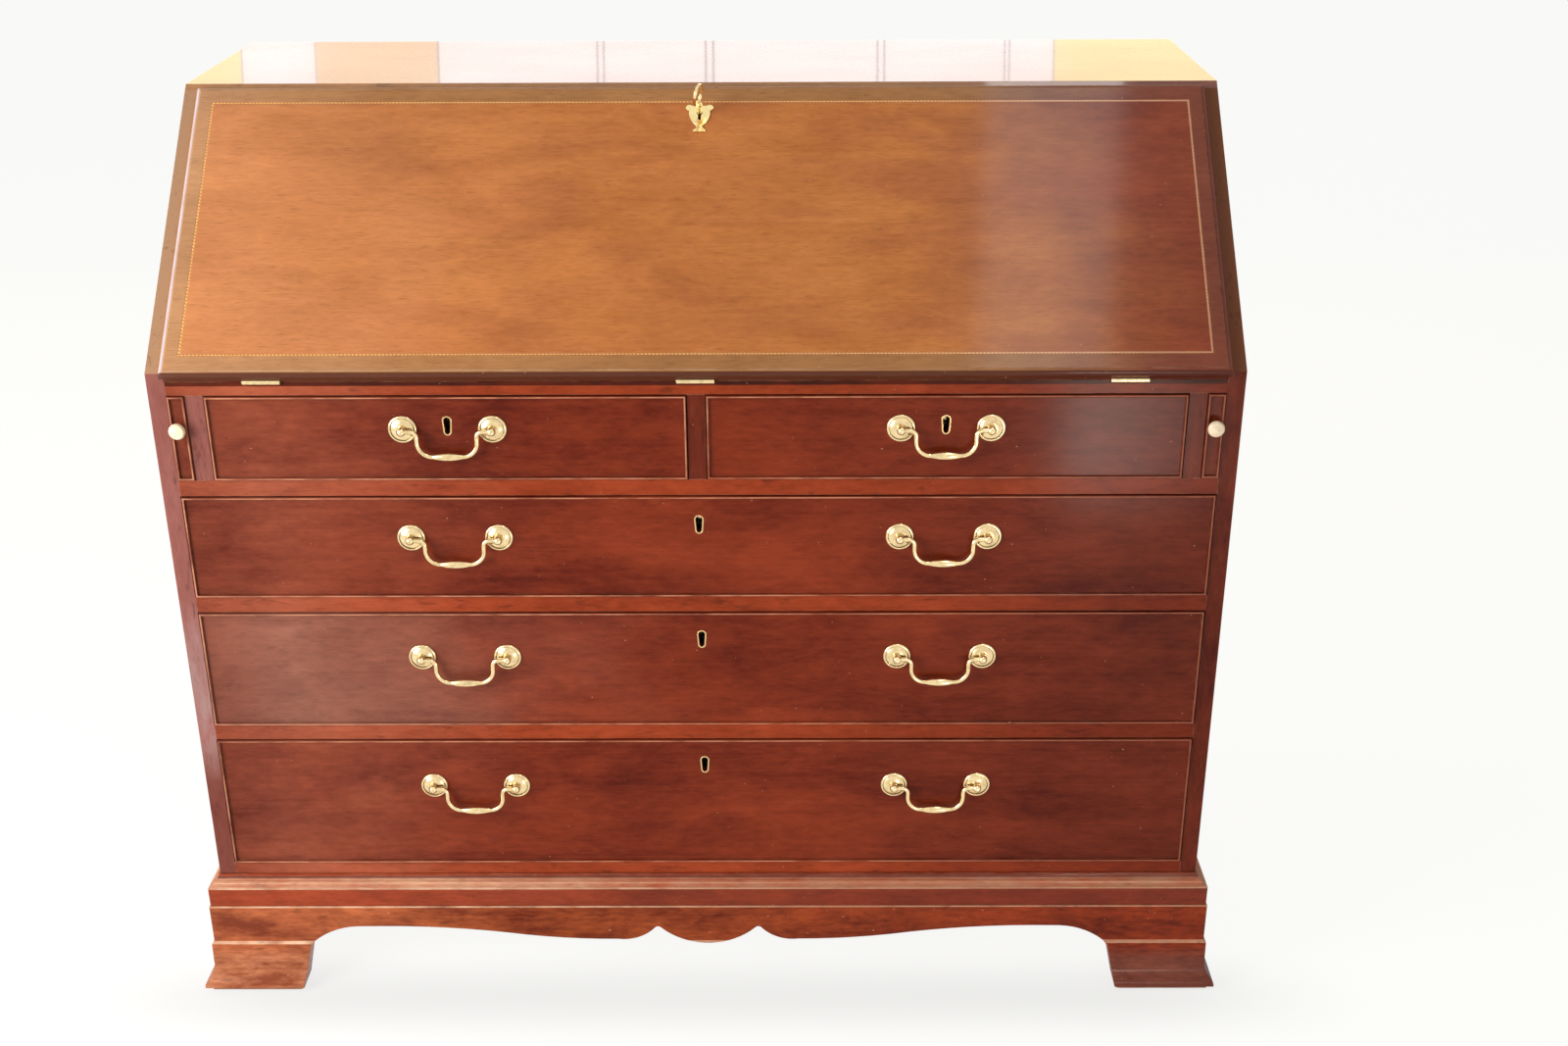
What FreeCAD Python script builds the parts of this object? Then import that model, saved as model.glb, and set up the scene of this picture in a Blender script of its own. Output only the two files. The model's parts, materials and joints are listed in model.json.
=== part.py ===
"""Slant-front bureau: a mahogany case of drawers on bracket feet under a sloping fall.

Millimetres, +Z up, +Y towards the back. The origin is on the floor, at the middle of the footprint.
Every size comes from the sheet below. Two short drawers stand over three long ones, the fall rests on two
lopers when it is open, and pigeonholes with four small drawers fill the space behind it.
"""
import FreeCAD, Part
import math
import os
import re

import Sketcher
from FreeCAD import Placement, Rotation, Vector

DIMENSIONS = {
    # How far a cutter runs past the face that it opens
    "past": 1,
    # Case
    "case_width": 1160, "case_depth": 543, "case_bottom": 115, "top_height": 1034.4, "knee_height": 780.6,
    "slope_angle": 44.31, "side_thick": 19, "top_thick": 18, "top_lap": 6.5, "back_thick": 12,
    "housing_deep": 6, "housing_stop": 8,
    "rail_thick": 18.5, "rail_depth": 62, "dust_thick": 9, "bed_thick": 15.5, "floor_thick": 18,
    "bottom_rail_top": 168.5, "bottom_rail_deep": 22,
    "muntin_wide": 19, "partition_wide": 19.5, "loper_bay": 19.5,
    # Drawer openings, from the lowest up
    "long_three_high": 168.5, "long_two_high": 144.5, "long_one_high": 122, "short_high": 97,
    # Drawers
    "drawer_gap": 1, "drawer_lift": 0.5, "drawer_long": 500, "front_thick": 20, "drawer_side": 10,
    "side_drop": 6, "drawer_floor": 8, "floor_up": 7, "groove_deep": 4, "groove_in": 6, "drawer_back": 12,
    "back_set": 4, "back_drop": 8, "tail_long": 13, "tail_high": 22, "tail_flare": 2.4,
    "bead_thick": 3, "bead_deep": 9, "bead_out": 2.5, "bead_round": 1.3,
    # Swan-neck handles
    "handle_offset": 267, "post_spacing": 96, "pivot_out": 9, "short_handle_up": 58.7,
    "long_one_handle_up": 72.5, "long_two_handle_up": 88, "long_three_handle_up": 106.5,
    "rose_radius": 15.5, "rose_thick": 4.6, "rose_seat": 6.5, "rose_edge": 0.8, "dome_radius": 16,
    "rim_wide": 2.6, "rim_thick": 2.4, "rim_round": 2.4, "rim_step": 1,
    "shank_radius": 2.4, "shank_gap": 0.05, "shank_long": 24, "nut_radius": 5, "nut_end": 23.5,
    "collar_radius": 4.6, "collar_thick": 0.4, "neck_radius": 3, "ball_radius": 4.9,
    "pin_radius": 2.5, "pin_gap": 0.05, "pin_past": 1, "bail_neck": 32, "neck_bend": 6.5, "neck_drop": 12.5,
    "bow_bend": 16, "grip_swell": 2.2,
    # Locks and keyholes
    "key_drop": 29, "lining_wide": 10.4, "lining_foot": 8.6, "lining_high": 22, "lining_thick": 1.4,
    "lining_deep": 2.5, "lock_wide": 56, "lock_high": 44, "lock_deep": 9, "lock_wall": 1.5,
    "bolt_wide": 18, "bolt_thick": 3, "bolt_high": 24, "bolt_play": 0.4, "bolt_set": 0.5, "bolt_throw": 8,
    "entry_radius": 3, "entry_wide": 3.2, "entry_high": 9,
    # Fall, measured along the slope from the knee
    "fall_thick": 15.5, "hinge_out": 1, "hinge_gap": 0.6, "lip_gap": 0.2, "lip_half": 564.5, "lip_top": 354,
    "lip_round": 5.5, "field_step": 1, "field_inset": 6, "fall_side_gap": 1, "fall_inner_top": 336,
    "string_half": 543, "string_low": 17.3, "string_high": 330.2, "string_wide": 2, "string_deep": 1.2,
    "leather_half": 470, "leather_low": 48, "leather_high": 284, "leather_thick": 1,
    "fall_key_at": 315, "fall_lock_high": 40, "fall_lock_deep": 9.8, "fall_bolt_throw": 9,
    # Vase escutcheon: half widths, and heights from the keyhole's eye
    "vase_thick": 1.2, "vase_foot": 6.6, "foot_low": -24, "foot_high": -21.5, "foot_hollow": 6,
    "vase_stem": 2.8, "stem_up": -17, "bowl_round": 24, "vase_bowl": 11.5, "bowl_up": -2, "brim_up": 3,
    "vase_lobe": 15.4, "lobe_up": 6, "lobe_round": 4.2, "lobe_in": 9.6, "lobe_top": 10.5, "lip_hollow": 9,
    "vase_mouth": 3, "mouth_up": 10,
    # Key, measured from the face of the fall: out towards the bow, in towards the bit
    "key_shank": 2.3, "key_twist": 20, "key_out": 21, "key_in": 10, "eye_play": 0.6, "bow_near": 19,
    "bow_far": 50, "bow_half": 11, "bow_turn": 13.5, "bow_ring": 3.6, "bow_thick": 3.2, "ring_at": 18.5,
    "ring_thick": 2.5, "ring_over": 1.2, "bit_at": 7.6, "bit_wide": 2.3, "bit_high": 8, "bit_thick": 2.4,
    # Butt hinges
    "hinge_offset": 457.6, "hinge_long": 40, "leaf_wide": 26, "leaf_thick": 2, "knuckle_radius": 3.1,
    "knuckle_middle": 13.4, "knuckle_gap": 0.2, "hinge_pin": 1, "hinge_pin_gap": 0.03, "knuckle_room": 0.35,
    # Lopers
    "loper_gap": 0.5, "loper_long": 440, "knob_up": 60, "knob_radius": 8.8, "knob_neck": 4, "neck_long": 5,
    "knob_full": 8, "knob_face": 12.5, "knob_end": 14, "knob_edge": 1.5, "knob_round": 4,
    # Base moulding and feet; "out" is measured from the faces of the case
    "mould_top": 153, "mould_fillet": 2, "cove_high": 151, "high_cove_out": 6.2, "fillet_top": 146.8,
    "fillet_out": 7.4, "fillet_low": 144.7, "low_cove_out": 11.6, "cove_radius": 6, "band_top": 140,
    "band_out": 13,
    "foot_face": 14.3, "foot_step": 63, "fillet_high": 2.6, "step_out": 17, "flare_lean": 0.3,
    "flare_up": 38.5, "flare_radius": 28, "toe_out": 28.5, "toe_up": 9, "toe_round": 7,
    "toe_shoulder": 8.8, "foot_inner": 10,
    "foot_long": 188.5, "toe_inner": 119, "toe_corner": 7, "ankle_inner": 130, "ankle_up": 60.4,
    "arch_radius": 85, "arch_top": 86.75, "rear_foot_thick": 18, "rear_foot_long": 130, "rear_toe": 75,
    "rear_arch": 100, "block_side": 45, "block_up": 6,
    # Apron, from the middle outwards: a hanging lobe, a cusp, then a long cyma
    "apron_back": 6, "lobe_half": 56, "cusp_half": 64, "cusp_up": 84, "lobe_radius": 82.3, "cusp_radius": 5,
    "scallop_radius": 50, "belly_at": 108, "belly_up": 68, "belly_radius": 850, "cyma_at": 240,
    "cyma_up": 77.5, "cyma_radius": 1100, "cyma_end": 385, "cyma_end_up": 87,
    # Interior
    "nest_front": 262, "nest_row": 66, "nest_board": 8, "hole_board": 6, "scoop_radius": 95, "scoop_foot": 12,
    "valance_high": 34, "valance_thick": 6, "valance_set": 6, "valance_wave": 0.45, "valance_radius": 50,
    "small_front": 9, "small_side": 6, "small_gap": 0.5, "small_back": 258, "small_drop": 6, "small_floor": 4,
    "small_floor_up": 2, "small_end_drop": 14, "pull_radius": 7, "pull_neck": 2.5, "pull_neck_long": 4,
    "pull_full": 7, "pull_round": 3.6, "pull_face": 11, "pull_end": 12, "pull_edge": 2,
}

doc = FreeCAD.newDocument("bureau")
sheet = doc.addObject("Spreadsheet::Sheet", "Dims")
for row, (alias, size) in enumerate(DIMENSIONS.items(), start=1):
    sheet.set(f"A{row}", alias.replace("_", " "))
    sheet.set(f"B{row}", str(size))
    sheet.setAlias(f"B{row}", alias)
doc.recompute()

nodes = {}

# Levels and planes that many pieces share, as formulas of the sheet's cells
FRONT = "((toe_out - case_depth) / 2)"
HALF = "(case_width / 2)"
INNER = "(case_width / 2 - side_thick)"
BACK = "(case_depth - back_thick)"
LONG_THREE = "bottom_rail_top"
LONG_TWO = f"({LONG_THREE} + long_three_high + rail_thick)"
LONG_ONE = f"({LONG_TWO} + long_two_high + rail_thick)"
SHORT = f"({LONG_ONE} + long_one_high + rail_thick)"
SHORT_TOP = f"({SHORT} + short_high)"
BED_TOP = f"({SHORT_TOP} + bed_thick)"
TOP_UNDER = "(top_height - top_thick)"
PARTITION = f"({INNER} - loper_bay - partition_wide)"
SHORT_MIDDLE = f"(({PARTITION} + muntin_wide / 2) / 2)"
# The hinge axis and the two faces of the fall, in the fall's own frame: along the slope, then out of it
PIVOT_ALONG = f"(({BED_TOP} - knee_height) * sin(slope_angle) - hinge_out * cos(slope_angle))"
PIVOT_OUT = f"(({BED_TOP} - knee_height) * cos(slope_angle) + hinge_out * sin(slope_angle))"
FACE_OUT = f"({PIVOT_OUT} + fall_thick)"
FALL_EDGE = f"({PIVOT_ALONG} + hinge_gap)"

# Lengths under NEAR count as none, and a cut that takes less than LEAST_CUT cubic millimetres as none
NEAR = 1e-6
LEAST_CUT = 0.1

TILT = Vector(1, 0, 0)
UPRIGHT = Vector(0, 0, 1)
OUTWARD = Vector(0, 1, 0)


def formula(text):
    """A formula of aliases, written as the document's expressions want it."""
    return re.sub(r"[a-z][a-z_]*", lambda word: cell(word.group(0)), str(text))


def cell(word):
    """The sheet's name in front of an alias; functions such as sin stay as they are."""
    return f"Dims.{word}" if word in DIMENSIONS else word


def number(text):
    """What a formula comes to now."""
    return float(sheet.evalExpression(formula(text)))


def place(item, x=0, y=0, z=0, turn=None, axis=UPRIGHT):
    """Bind an object's place, and its turn about an axis, to the sheet."""
    if turn is not None:
        item.Placement = Placement(Vector(), Rotation(axis, number(turn)))
        item.setExpression("Placement.Rotation.Angle", formula(turn))
    for letter, text in zip("xyz", (x, y, z)):
        item.setExpression(f"Placement.Base.{letter}", formula(text))
    return item


def place_on_slope(item):
    """Set a piece made flat, along X and the slope, onto the case's sloping shoulder."""
    return place(item, 0, FRONT, "knee_height", "slope_angle", TILT)


def slope_point(along, out):
    """Y and Z of a point on the fall, from its distance along the slope and out of it."""
    y = f"{FRONT} + ({along}) * cos(slope_angle) - ({out}) * sin(slope_angle)"
    z = f"knee_height + ({along}) * sin(slope_angle) + ({out}) * cos(slope_angle)"
    return y, z


def block(name, wide, deep, high):
    """A rectangular block at the origin."""
    item = doc.addObject("Part::Box", name)
    for side, text in (("Length", wide), ("Width", deep), ("Height", high)):
        item.setExpression(side, formula(text))
    return item


def box(name, x, y, z, wide, deep, high, base=FRONT):
    """A straight board from its left, front, lower corner; y counts from the case's front face."""
    return place(block(name, wide, deep, high), x, f"{base} + ({y})", z)


def wedge(name, **spans):
    """A tapered block: X, Y and Z give its ends, X2 and Z2 those of its far face."""
    item = doc.addObject("Part::Wedge", name)
    for axis, ends in spans.items():
        for limit, text in zip(("min", "max"), ends):
            item.setExpression(f"{axis}{limit}", formula(text))
    return item


def rod(name, radius, length, x, y, z, turn, axis):
    """A cylinder whose own axis, +Z, is turned about the given axis."""
    item = doc.addObject("Part::Cylinder", name)
    item.setExpression("Radius", formula(radius))
    item.setExpression("Height", formula(length))
    return place(item, x, y, z, turn, axis)


def fuse(name, items):
    """Several solids joined into one."""
    item = doc.addObject("Part::MultiFuse", name)
    item.Shapes = items
    return item


def cut(name, base, tools):
    """A solid less its tools."""
    item = doc.addObject("Part::Cut", name)
    item.Base = base
    item.Tool = tools[0] if len(tools) == 1 else fuse(f"{name}_tools", tools)
    return item


def copy_of(name, master, *where):
    """A linked copy of a piece that is modelled once."""
    item = doc.addObject("App::Link", name)
    item.LinkedObject = master
    return place(item, *where)


def held(name, item):
    """A piece in a holder of its own, so that a copy's place is added to the piece's place."""
    holder = doc.addObject("Part::Compound", name)
    holder.Links = [item]
    return holder


def node(label, items):
    """One named sub-part, of one or more separate solids."""
    item = doc.addObject("Part::Compound", f"{label}_node")
    item.Links = items
    item.Label = label
    nodes[label] = item
    return item


def body(name):
    return doc.addObject("PartDesign::Body", name)


def plane(owner, role):
    return next(item for item in owner.Origin.OriginFeatures if item.Role == role)


def sketch(owner, role, name, offset="0"):
    """A sketch on one of the body's own planes, moved along the plane's normal."""
    item = owner.newObject("Sketcher::SketchObject", name)
    item.AttachmentSupport = [(plane(owner, role), "")]
    item.MapMode = "FlatFace"
    item.setExpression("AttachmentOffset.Base.z", formula(offset))
    return item


def arc_between(start, end, radius):
    """The shorter arc from start to end: counter-clockwise for a positive radius, else clockwise."""
    chord = end - start
    left = Vector(-chord.y, chord.x, 0).normalize()
    rise = math.sqrt(radius ** 2 - (chord.Length / 2) ** 2)
    centre = start + chord * 0.5 + left * math.copysign(rise, radius)
    first, last = (start, end) if radius > 0 else (end, start)
    angles = [math.atan2(point.y - centre.y, point.x - centre.x) for point in (first, last)]
    return Part.ArcOfCircle(Part.Circle(centre, UPRIGHT, abs(radius)), *angles)


def draw(item, points, closed=True):
    """Draw an outline. A point is (across, up), and perhaps the radius of the arc that leaves it."""
    spots = [Vector(number(point[0]), number(point[1]), 0) for point in points]
    count = len(points) if closed else len(points) - 1
    ends = []
    for index in range(count):
        start, end = spots[index], spots[(index + 1) % len(points)]
        if len(points[index]) == 2:
            ends.append((item.addGeometry(Part.LineSegment(start, end), False), 1, 2))
            continue
        radius = number(points[index][2])
        geometry = item.addGeometry(arc_between(start, end, radius), False)
        ends.append((geometry, 1, 2) if radius > 0 else (geometry, 2, 1))
        size = item.addConstraint(Sketcher.Constraint("Radius", geometry, abs(radius)))
        item.setExpression(f"Constraints[{size}]", f"abs({formula(points[index][2])})")
    for index, (geometry, first, last) in enumerate(ends):
        if closed or index + 1 < count:
            following = ends[(index + 1) % count]
            item.addConstraint(Sketcher.Constraint("Coincident", geometry, last, following[0], following[1]))
        pin_point(item, geometry, first, spots[index], points[index])
    if not closed:
        pin_point(item, ends[-1][0], ends[-1][2], spots[-1], points[-1])


def pin_point(item, geometry, end, spot, point):
    """Tie one point of a sketch to the sheet."""
    for kind, now, text in (("DistanceX", spot.x, point[0]), ("DistanceY", spot.y, point[1])):
        size = item.addConstraint(Sketcher.Constraint(kind, geometry, end, now))
        item.setExpression(f"Constraints[{size}]", formula(text))


def mirrored(points, last=()):
    """The points on the other side of the middle, in the order that goes on round the outline."""
    arcs = [point[2:] for point in points[:-1]]
    return [(f"-({point[0]})", point[1], *arc) for point, arc in zip(reversed(points), arcs[::-1] + [last])]


def draw_box(item, left, low, right, high):
    draw(item, [(left, low), (right, low), (right, high), (left, high)])


def draw_circle(item, across, up, radius):
    spot = Vector(number(across), number(up), 0)
    geometry = item.addGeometry(Part.Circle(spot, UPRIGHT, number(radius)), False)
    pin_point(item, geometry, 3, spot, (across, up))
    size = item.addConstraint(Sketcher.Constraint("Radius", geometry, number(radius)))
    item.setExpression(f"Constraints[{size}]", formula(radius))


def pad(owner, profile, length, reverse=False):
    feature = owner.newObject("PartDesign::Pad", f"{profile.Name}_pad")
    feature.Profile = profile
    feature.setExpression("Length", formula(length))
    feature.Reversed = reverse
    return feature


def pocket(owner, profile, depth=None, reverse=False):
    """A cut against the sketch's normal, or along it when reversed; with no depth it goes right through."""
    feature = owner.newObject("PartDesign::Pocket", f"{profile.Name}_pocket")
    feature.Profile = profile
    feature.Reversed = reverse
    if depth is None:
        feature.Type = "ThroughAll"
    else:
        feature.setExpression("Length", formula(depth))
    return feature


def turned(name, points):
    """A turned piece about its own Y axis: points are (radius, along the axis)."""
    owner = body(name)
    profile = sketch(owner, "XY_Plane", f"{name}_profile")
    draw(profile, points)
    feature = owner.newObject("PartDesign::Revolution", f"{name}_turning")
    feature.Profile = profile
    feature.ReferenceAxis = (profile, ["V_Axis"])
    return owner


# Case

def shoulder(height):
    """How far behind the front face the slope is at a height."""
    return f"(({height} - knee_height) / tan(slope_angle))"


def side_panel(label, hand):
    """A side with its sloping shoulder, and housings for the rails, dustboards, bed and floor."""
    owner = body(f"{label}_body")
    outline = sketch(owner, "YZ_Plane", f"{label}_outline")
    side_top = "(top_height - top_lap)"
    draw(outline, [("0", "case_bottom"), ("case_depth", "case_bottom"), ("case_depth", side_top),
                   (shoulder(side_top), side_top), ("0", "knee_height")])
    pad(owner, outline, "side_thick")
    housings = sketch(owner, "YZ_Plane", f"{label}_housings", "side_thick" if hand < 0 else "0")
    for level in (LONG_TWO, LONG_ONE, SHORT):
        under = f"({level} - rail_thick)"
        board = f"({level} - dust_thick)"
        draw(housings, [("housing_stop", under), ("rail_depth", under), ("rail_depth", board), (BACK, board),
                        (BACK, level), ("housing_stop", level)])
    draw_box(housings, "housing_stop", SHORT_TOP, BACK, BED_TOP)
    draw_box(housings, "bottom_rail_deep", f"({LONG_THREE} - floor_thick)", BACK, LONG_THREE)
    pocket(owner, housings, "housing_deep", reverse=hand > 0)
    place(owner, f"-{HALF}" if hand < 0 else INNER, FRONT, 0)
    node(label, [owner])


def top_board():
    """The top, bevelled to the slope, lapped over the sides and mortised for the fall's bolt."""
    owner = body("top_board_body")
    outline = sketch(owner, "YZ_Plane", "top_outline", f"-{HALF}")
    draw(outline, [(shoulder(TOP_UNDER), TOP_UNDER), ("case_depth", TOP_UNDER), ("case_depth", "top_height"),
                   (shoulder("top_height"), "top_height")])
    pad(owner, outline, "case_width")
    laps = sketch(owner, "XZ_Plane", "top_laps", "-case_depth - past")
    for hand in ("-1", "1"):
        draw_box(laps, f"{hand} * {INNER}", f"({TOP_UNDER} - past)", f"{hand} * ({HALF} + past)",
                 "(top_height - top_lap)")
    pocket(owner, laps, reverse=True)
    place(owner, 0, FRONT, 0)
    mortise = block("fall_bolt_mortise", "bolt_wide + 2 * bolt_play", "fall_bolt_throw + 2 * past",
                    "bolt_thick + 2 * bolt_play")
    y, z = slope_point("fall_inner_top", f"{PIVOT_OUT} + lock_wall")
    place(mortise, "-bolt_wide / 2 - bolt_play", y, z, "slope_angle", TILT)
    node("top_board", [cut("top_board_cut", owner, [mortise])])


def rail(name, under, thick, mortises):
    """A rail with a shouldered tenon at each end, and a mortise over each lock's bolt."""
    owner = body(name)
    outline = sketch(owner, "XY_Plane", f"{name}_outline", under)
    tenon = f"({INNER} + housing_deep)"
    draw(outline, [(f"-{INNER}", "0"), (INNER, "0"), (INNER, "housing_stop"), (tenon, "housing_stop"),
                   (tenon, "rail_depth"), (f"-{tenon}", "rail_depth"), (f"-{tenon}", "housing_stop"),
                   (f"-{INNER}", "housing_stop")])
    pad(owner, outline, thick)
    slots = sketch(owner, "XY_Plane", f"{name}_mortises", under)
    half = "(bolt_wide / 2 + bolt_play)"
    far = "(front_thick - lock_wall)"
    near = f"({far} - bolt_thick - 2 * bolt_play)"
    for middle in mortises:
        draw_box(slots, f"{middle} - {half}", near, f"{middle} + {half}", far)
    pocket(owner, slots, "bolt_throw + past", reverse=True)
    return place(owner, 0, FRONT, 0)


HINGES = ("-hinge_offset", "0", "hinge_offset")


def rails():
    """Three drawer rails, the bottom rail, and the upper rail with gains for the hinges."""
    plain = [rail(f"drawer_rail_{count}", f"({level} - rail_thick)", "rail_thick", ["0"])
             for count, level in enumerate((LONG_TWO, LONG_ONE, SHORT), start=1)]
    upper = rail("upper_rail", SHORT_TOP, "bed_thick", [f"-{SHORT_MIDDLE}", SHORT_MIDDLE])
    gains = []
    room = "(knuckle_radius + knuckle_room)"
    wide = "hinge_long + 2 * knuckle_gap"
    for count, middle in enumerate(HINGES):
        left = f"{middle} - hinge_long / 2 - knuckle_gap"
        gains.append(box(f"leaf_gain_{count}", left, "-past", f"{BED_TOP} - leaf_thick", wide,
                         "leaf_wide - hinge_out + knuckle_gap + past", "leaf_thick + past"))
        gains.append(box(f"knuckle_gain_{count}", left, "-past", f"{BED_TOP} - {room}", wide,
                         f"past - hinge_out + {room}", f"{room} + past"))
    bottom = box("bottom_rail", f"-{INNER}", "0", "case_bottom", f"2 * {INNER}", "bottom_rail_deep",
                 f"{LONG_THREE} - case_bottom")
    node("front_rails", plain + [bottom, cut("upper_rail_cut", upper, gains)])


def inner_boards():
    """Dustboards, bed, floor, back boards and the uprights between the short drawers and lopers."""
    wide = f"2 * ({INNER} + housing_deep)"
    left = f"-({INNER} + housing_deep)"
    behind = f"{BACK} - rail_depth"
    node("dustboards", [
        box(f"dustboard_{count}", left, "rail_depth", f"{level} - dust_thick", wide, behind, "dust_thick")
        for count, level in enumerate((LONG_TWO, LONG_ONE, SHORT), start=1)])
    node("writing_bed", [box("bed", left, "rail_depth", SHORT_TOP, wide, behind, "bed_thick")])
    node("case_floor", [box("floor_board", left, "bottom_rail_deep", f"{LONG_THREE} - floor_thick", wide,
                            f"{BACK} - bottom_rail_deep", "floor_thick")])
    board_count = 6
    board = f"(2 * {INNER} / {board_count})"
    node("back_boards", [
        box(f"back_board_{count}", f"-{INNER} + {count} * {board}", BACK, "case_bottom", board, "back_thick",
            f"{TOP_UNDER} - case_bottom") for count in range(board_count)])
    uprights = [box("muntin", "-muntin_wide / 2", "0", SHORT, "muntin_wide", BACK, "short_high")]
    for side, start in (("left", f"-{PARTITION} - partition_wide"), ("right", PARTITION)):
        uprights.append(box(f"{side}_partition", start, "0", SHORT, "partition_wide", BACK, "short_high"))
    node("drawer_uprights", uprights)


# Base

def moulded_run(name, profile, length, hand):
    """A length with a moulded section along local X, its outer side towards -Y."""
    owner = body(name)
    section = sketch(owner, "YZ_Plane", f"{name}_section")
    draw(section, [(f"-({point[0]})", *point[1:]) for point in profile])
    pad(owner, section, length, reverse=hand < 0)
    return owner


def mitre(owner, reach, inner, starts):
    """Cut the ends of a moulded run to 45 degrees, from its outermost line inwards."""
    corners = sketch(owner, "XY_Plane", f"{owner.Name}_mitres")
    for start in starts:
        draw(corners, [(start.format("-past"), f"-{reach} - past"),
                       (start.format(f"{reach} + {inner} + past"), f"{inner} + past"),
                       (start.format("-past"), f"{inner} + past")])
    pocket(owner, corners, reverse=True)
    return owner


def base_moulding():
    """Two small coves divided by fillets over a flat band, mitred round the front corners."""
    profile = [("0", "case_bottom"), ("band_out", "case_bottom"), ("band_out", "band_top"),
               ("low_cove_out", "band_top", "cove_radius"), ("fillet_out", "fillet_low"),
               ("fillet_out", "fillet_top"), ("high_cove_out", "fillet_top", "cove_radius"),
               ("mould_fillet", "cove_high"), ("mould_fillet", "mould_top"), ("0", "mould_top")]
    length = "(case_width + 2 * band_out)"
    front = moulded_run("front_moulding", profile, length, 1)
    mitre(front, "band_out", "0", ["({})", f"({length} - ({{}}))"])
    runs = [place(front, f"-{HALF} - band_out", FRONT, 0)]
    for side, hand in (("left", -1), ("right", 1)):
        item = moulded_run(f"{side}_moulding", profile, "case_depth + band_out", hand)
        mitre(item, "band_out", "0", [f"{hand} * ({{}})"])
        runs.append(place(item, f"{hand} * {HALF}", f"{FRONT} - band_out", 0, 90 * hand))
    node("base_moulding", runs)


def bracket(name, hand):
    """One face of a bracket foot: upright above, a fillet, then a cavetto down to a rounded toe."""
    profile = [("-foot_inner", "0"), ("toe_out - toe_round", "0", "toe_round"), ("toe_out", "toe_round"),
               ("toe_out", "toe_up", "-toe_shoulder"),
               ("toe_out - toe_round / 2", "toe_up + toe_round", "flare_radius"),
               ("step_out + flare_lean", "flare_up"), ("step_out", "foot_step - fillet_high"),
               ("step_out", "foot_step"), ("foot_face", "foot_step + fillet_high"),
               ("foot_face", "case_bottom"), ("-foot_inner", "case_bottom")]
    owner = moulded_run(name, profile, "foot_long", hand)
    arch = sketch(owner, "XZ_Plane", f"{name}_arch", "-foot_inner - past")
    end = f"{hand} * (foot_long + past)"
    corner = f"{hand} * (toe_inner - toe_corner)"
    draw(arch, [(corner, "-past"), (end, "-past"), (end, "arch_top"),
                (f"{hand} * foot_long", "arch_top", f"{hand} * arch_radius"),
                (f"{hand} * ankle_inner", "ankle_up"),
                (f"{hand} * toe_inner", "toe_corner", f"{-hand} * toe_corner"), (corner, "0")])
    pocket(owner, arch, reverse=True)
    return owner


def feet():
    """Front feet of two mitred brackets each, rear feet of a side bracket and a plain back piece."""
    pieces = []
    for side, hand in (("left", 1), ("right", -1)):
        face = bracket(f"{side}_foot_face", hand)
        mitre(face, "toe_out", "foot_inner", [f"{hand} * ({{}})"])
        place(face, f"{-hand} * ({HALF} + toe_out)", FRONT, 0)
        flank = bracket(f"{side}_foot_flank", -hand)
        mitre(flank, "toe_out", "foot_inner", [f"{-hand} * ({{}})"])
        place(flank, f"{-hand} * {HALF}", f"{FRONT} - toe_out", 0, -90 * hand)
        rear = bracket(f"{side}_rear_flank", hand)
        place(rear, f"{-hand} * {HALF}", f"{FRONT} + case_depth", 0, -90 * hand)
        pieces += [face, flank, rear, rear_piece(side, hand)]
    node("bracket_feet", pieces)


def rear_piece(side, hand):
    """The plain board that closes a rear foot, cut back in a quarter round."""
    owner = body(f"{side}_rear_foot_back")
    outline = sketch(owner, "XZ_Plane", f"{side}_rear_outline")
    draw(outline, [(f"{hand} * foot_inner", "0"), (f"{hand} * rear_toe", "0", f"{-hand} * rear_arch"),
                   (f"{hand} * rear_foot_long", "arch_top"), (f"{hand} * rear_foot_long", "case_bottom"),
                   (f"{hand} * foot_inner", "case_bottom")])
    pad(owner, outline, "rear_foot_thick")
    return place(owner, f"{-hand} * {HALF}", f"{FRONT} + case_depth", 0)


def apron():
    """The front apron: a long cyma each side of two round cusps and a hanging middle lobe."""
    owner = body("front_apron_body")
    outline = sketch(owner, "XZ_Plane", "apron_outline", "-apron_back")
    end = f"({HALF} + toe_out - foot_long)"
    right = [("lobe_half", "cusp_up", "-cusp_radius"), ("cusp_half", "cusp_up", "scallop_radius"),
             ("belly_at", "belly_up", "belly_radius"), ("cyma_at", "cyma_up", "-cyma_radius"),
             ("cyma_end", "cyma_end_up")]
    left = mirrored(right, ("lobe_radius",))
    draw(outline, [(end, "case_bottom"), (f"-{end}", "case_bottom"), (f"-{end}", "arch_top"),
                   *left, *right, (end, "arch_top")])
    pad(owner, outline, "foot_face + apron_back")
    place(owner, 0, FRONT, 0)
    node("front_apron", [owner])


def glue_blocks():
    """A square block in the corner of each foot."""
    blocks = []
    for side, x in (("left", f"-({HALF} - foot_inner)"), ("right", f"{HALF} - foot_inner - block_side")):
        for spot, y in (("front", "foot_inner"), ("rear", "case_depth - rear_foot_thick - block_side")):
            blocks.append(box(f"{spot}_{side}_block", x, y, "block_up", "block_side", "block_side",
                              "case_bottom - block_up"))
    node("glue_blocks", blocks)


# Drawers

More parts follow.
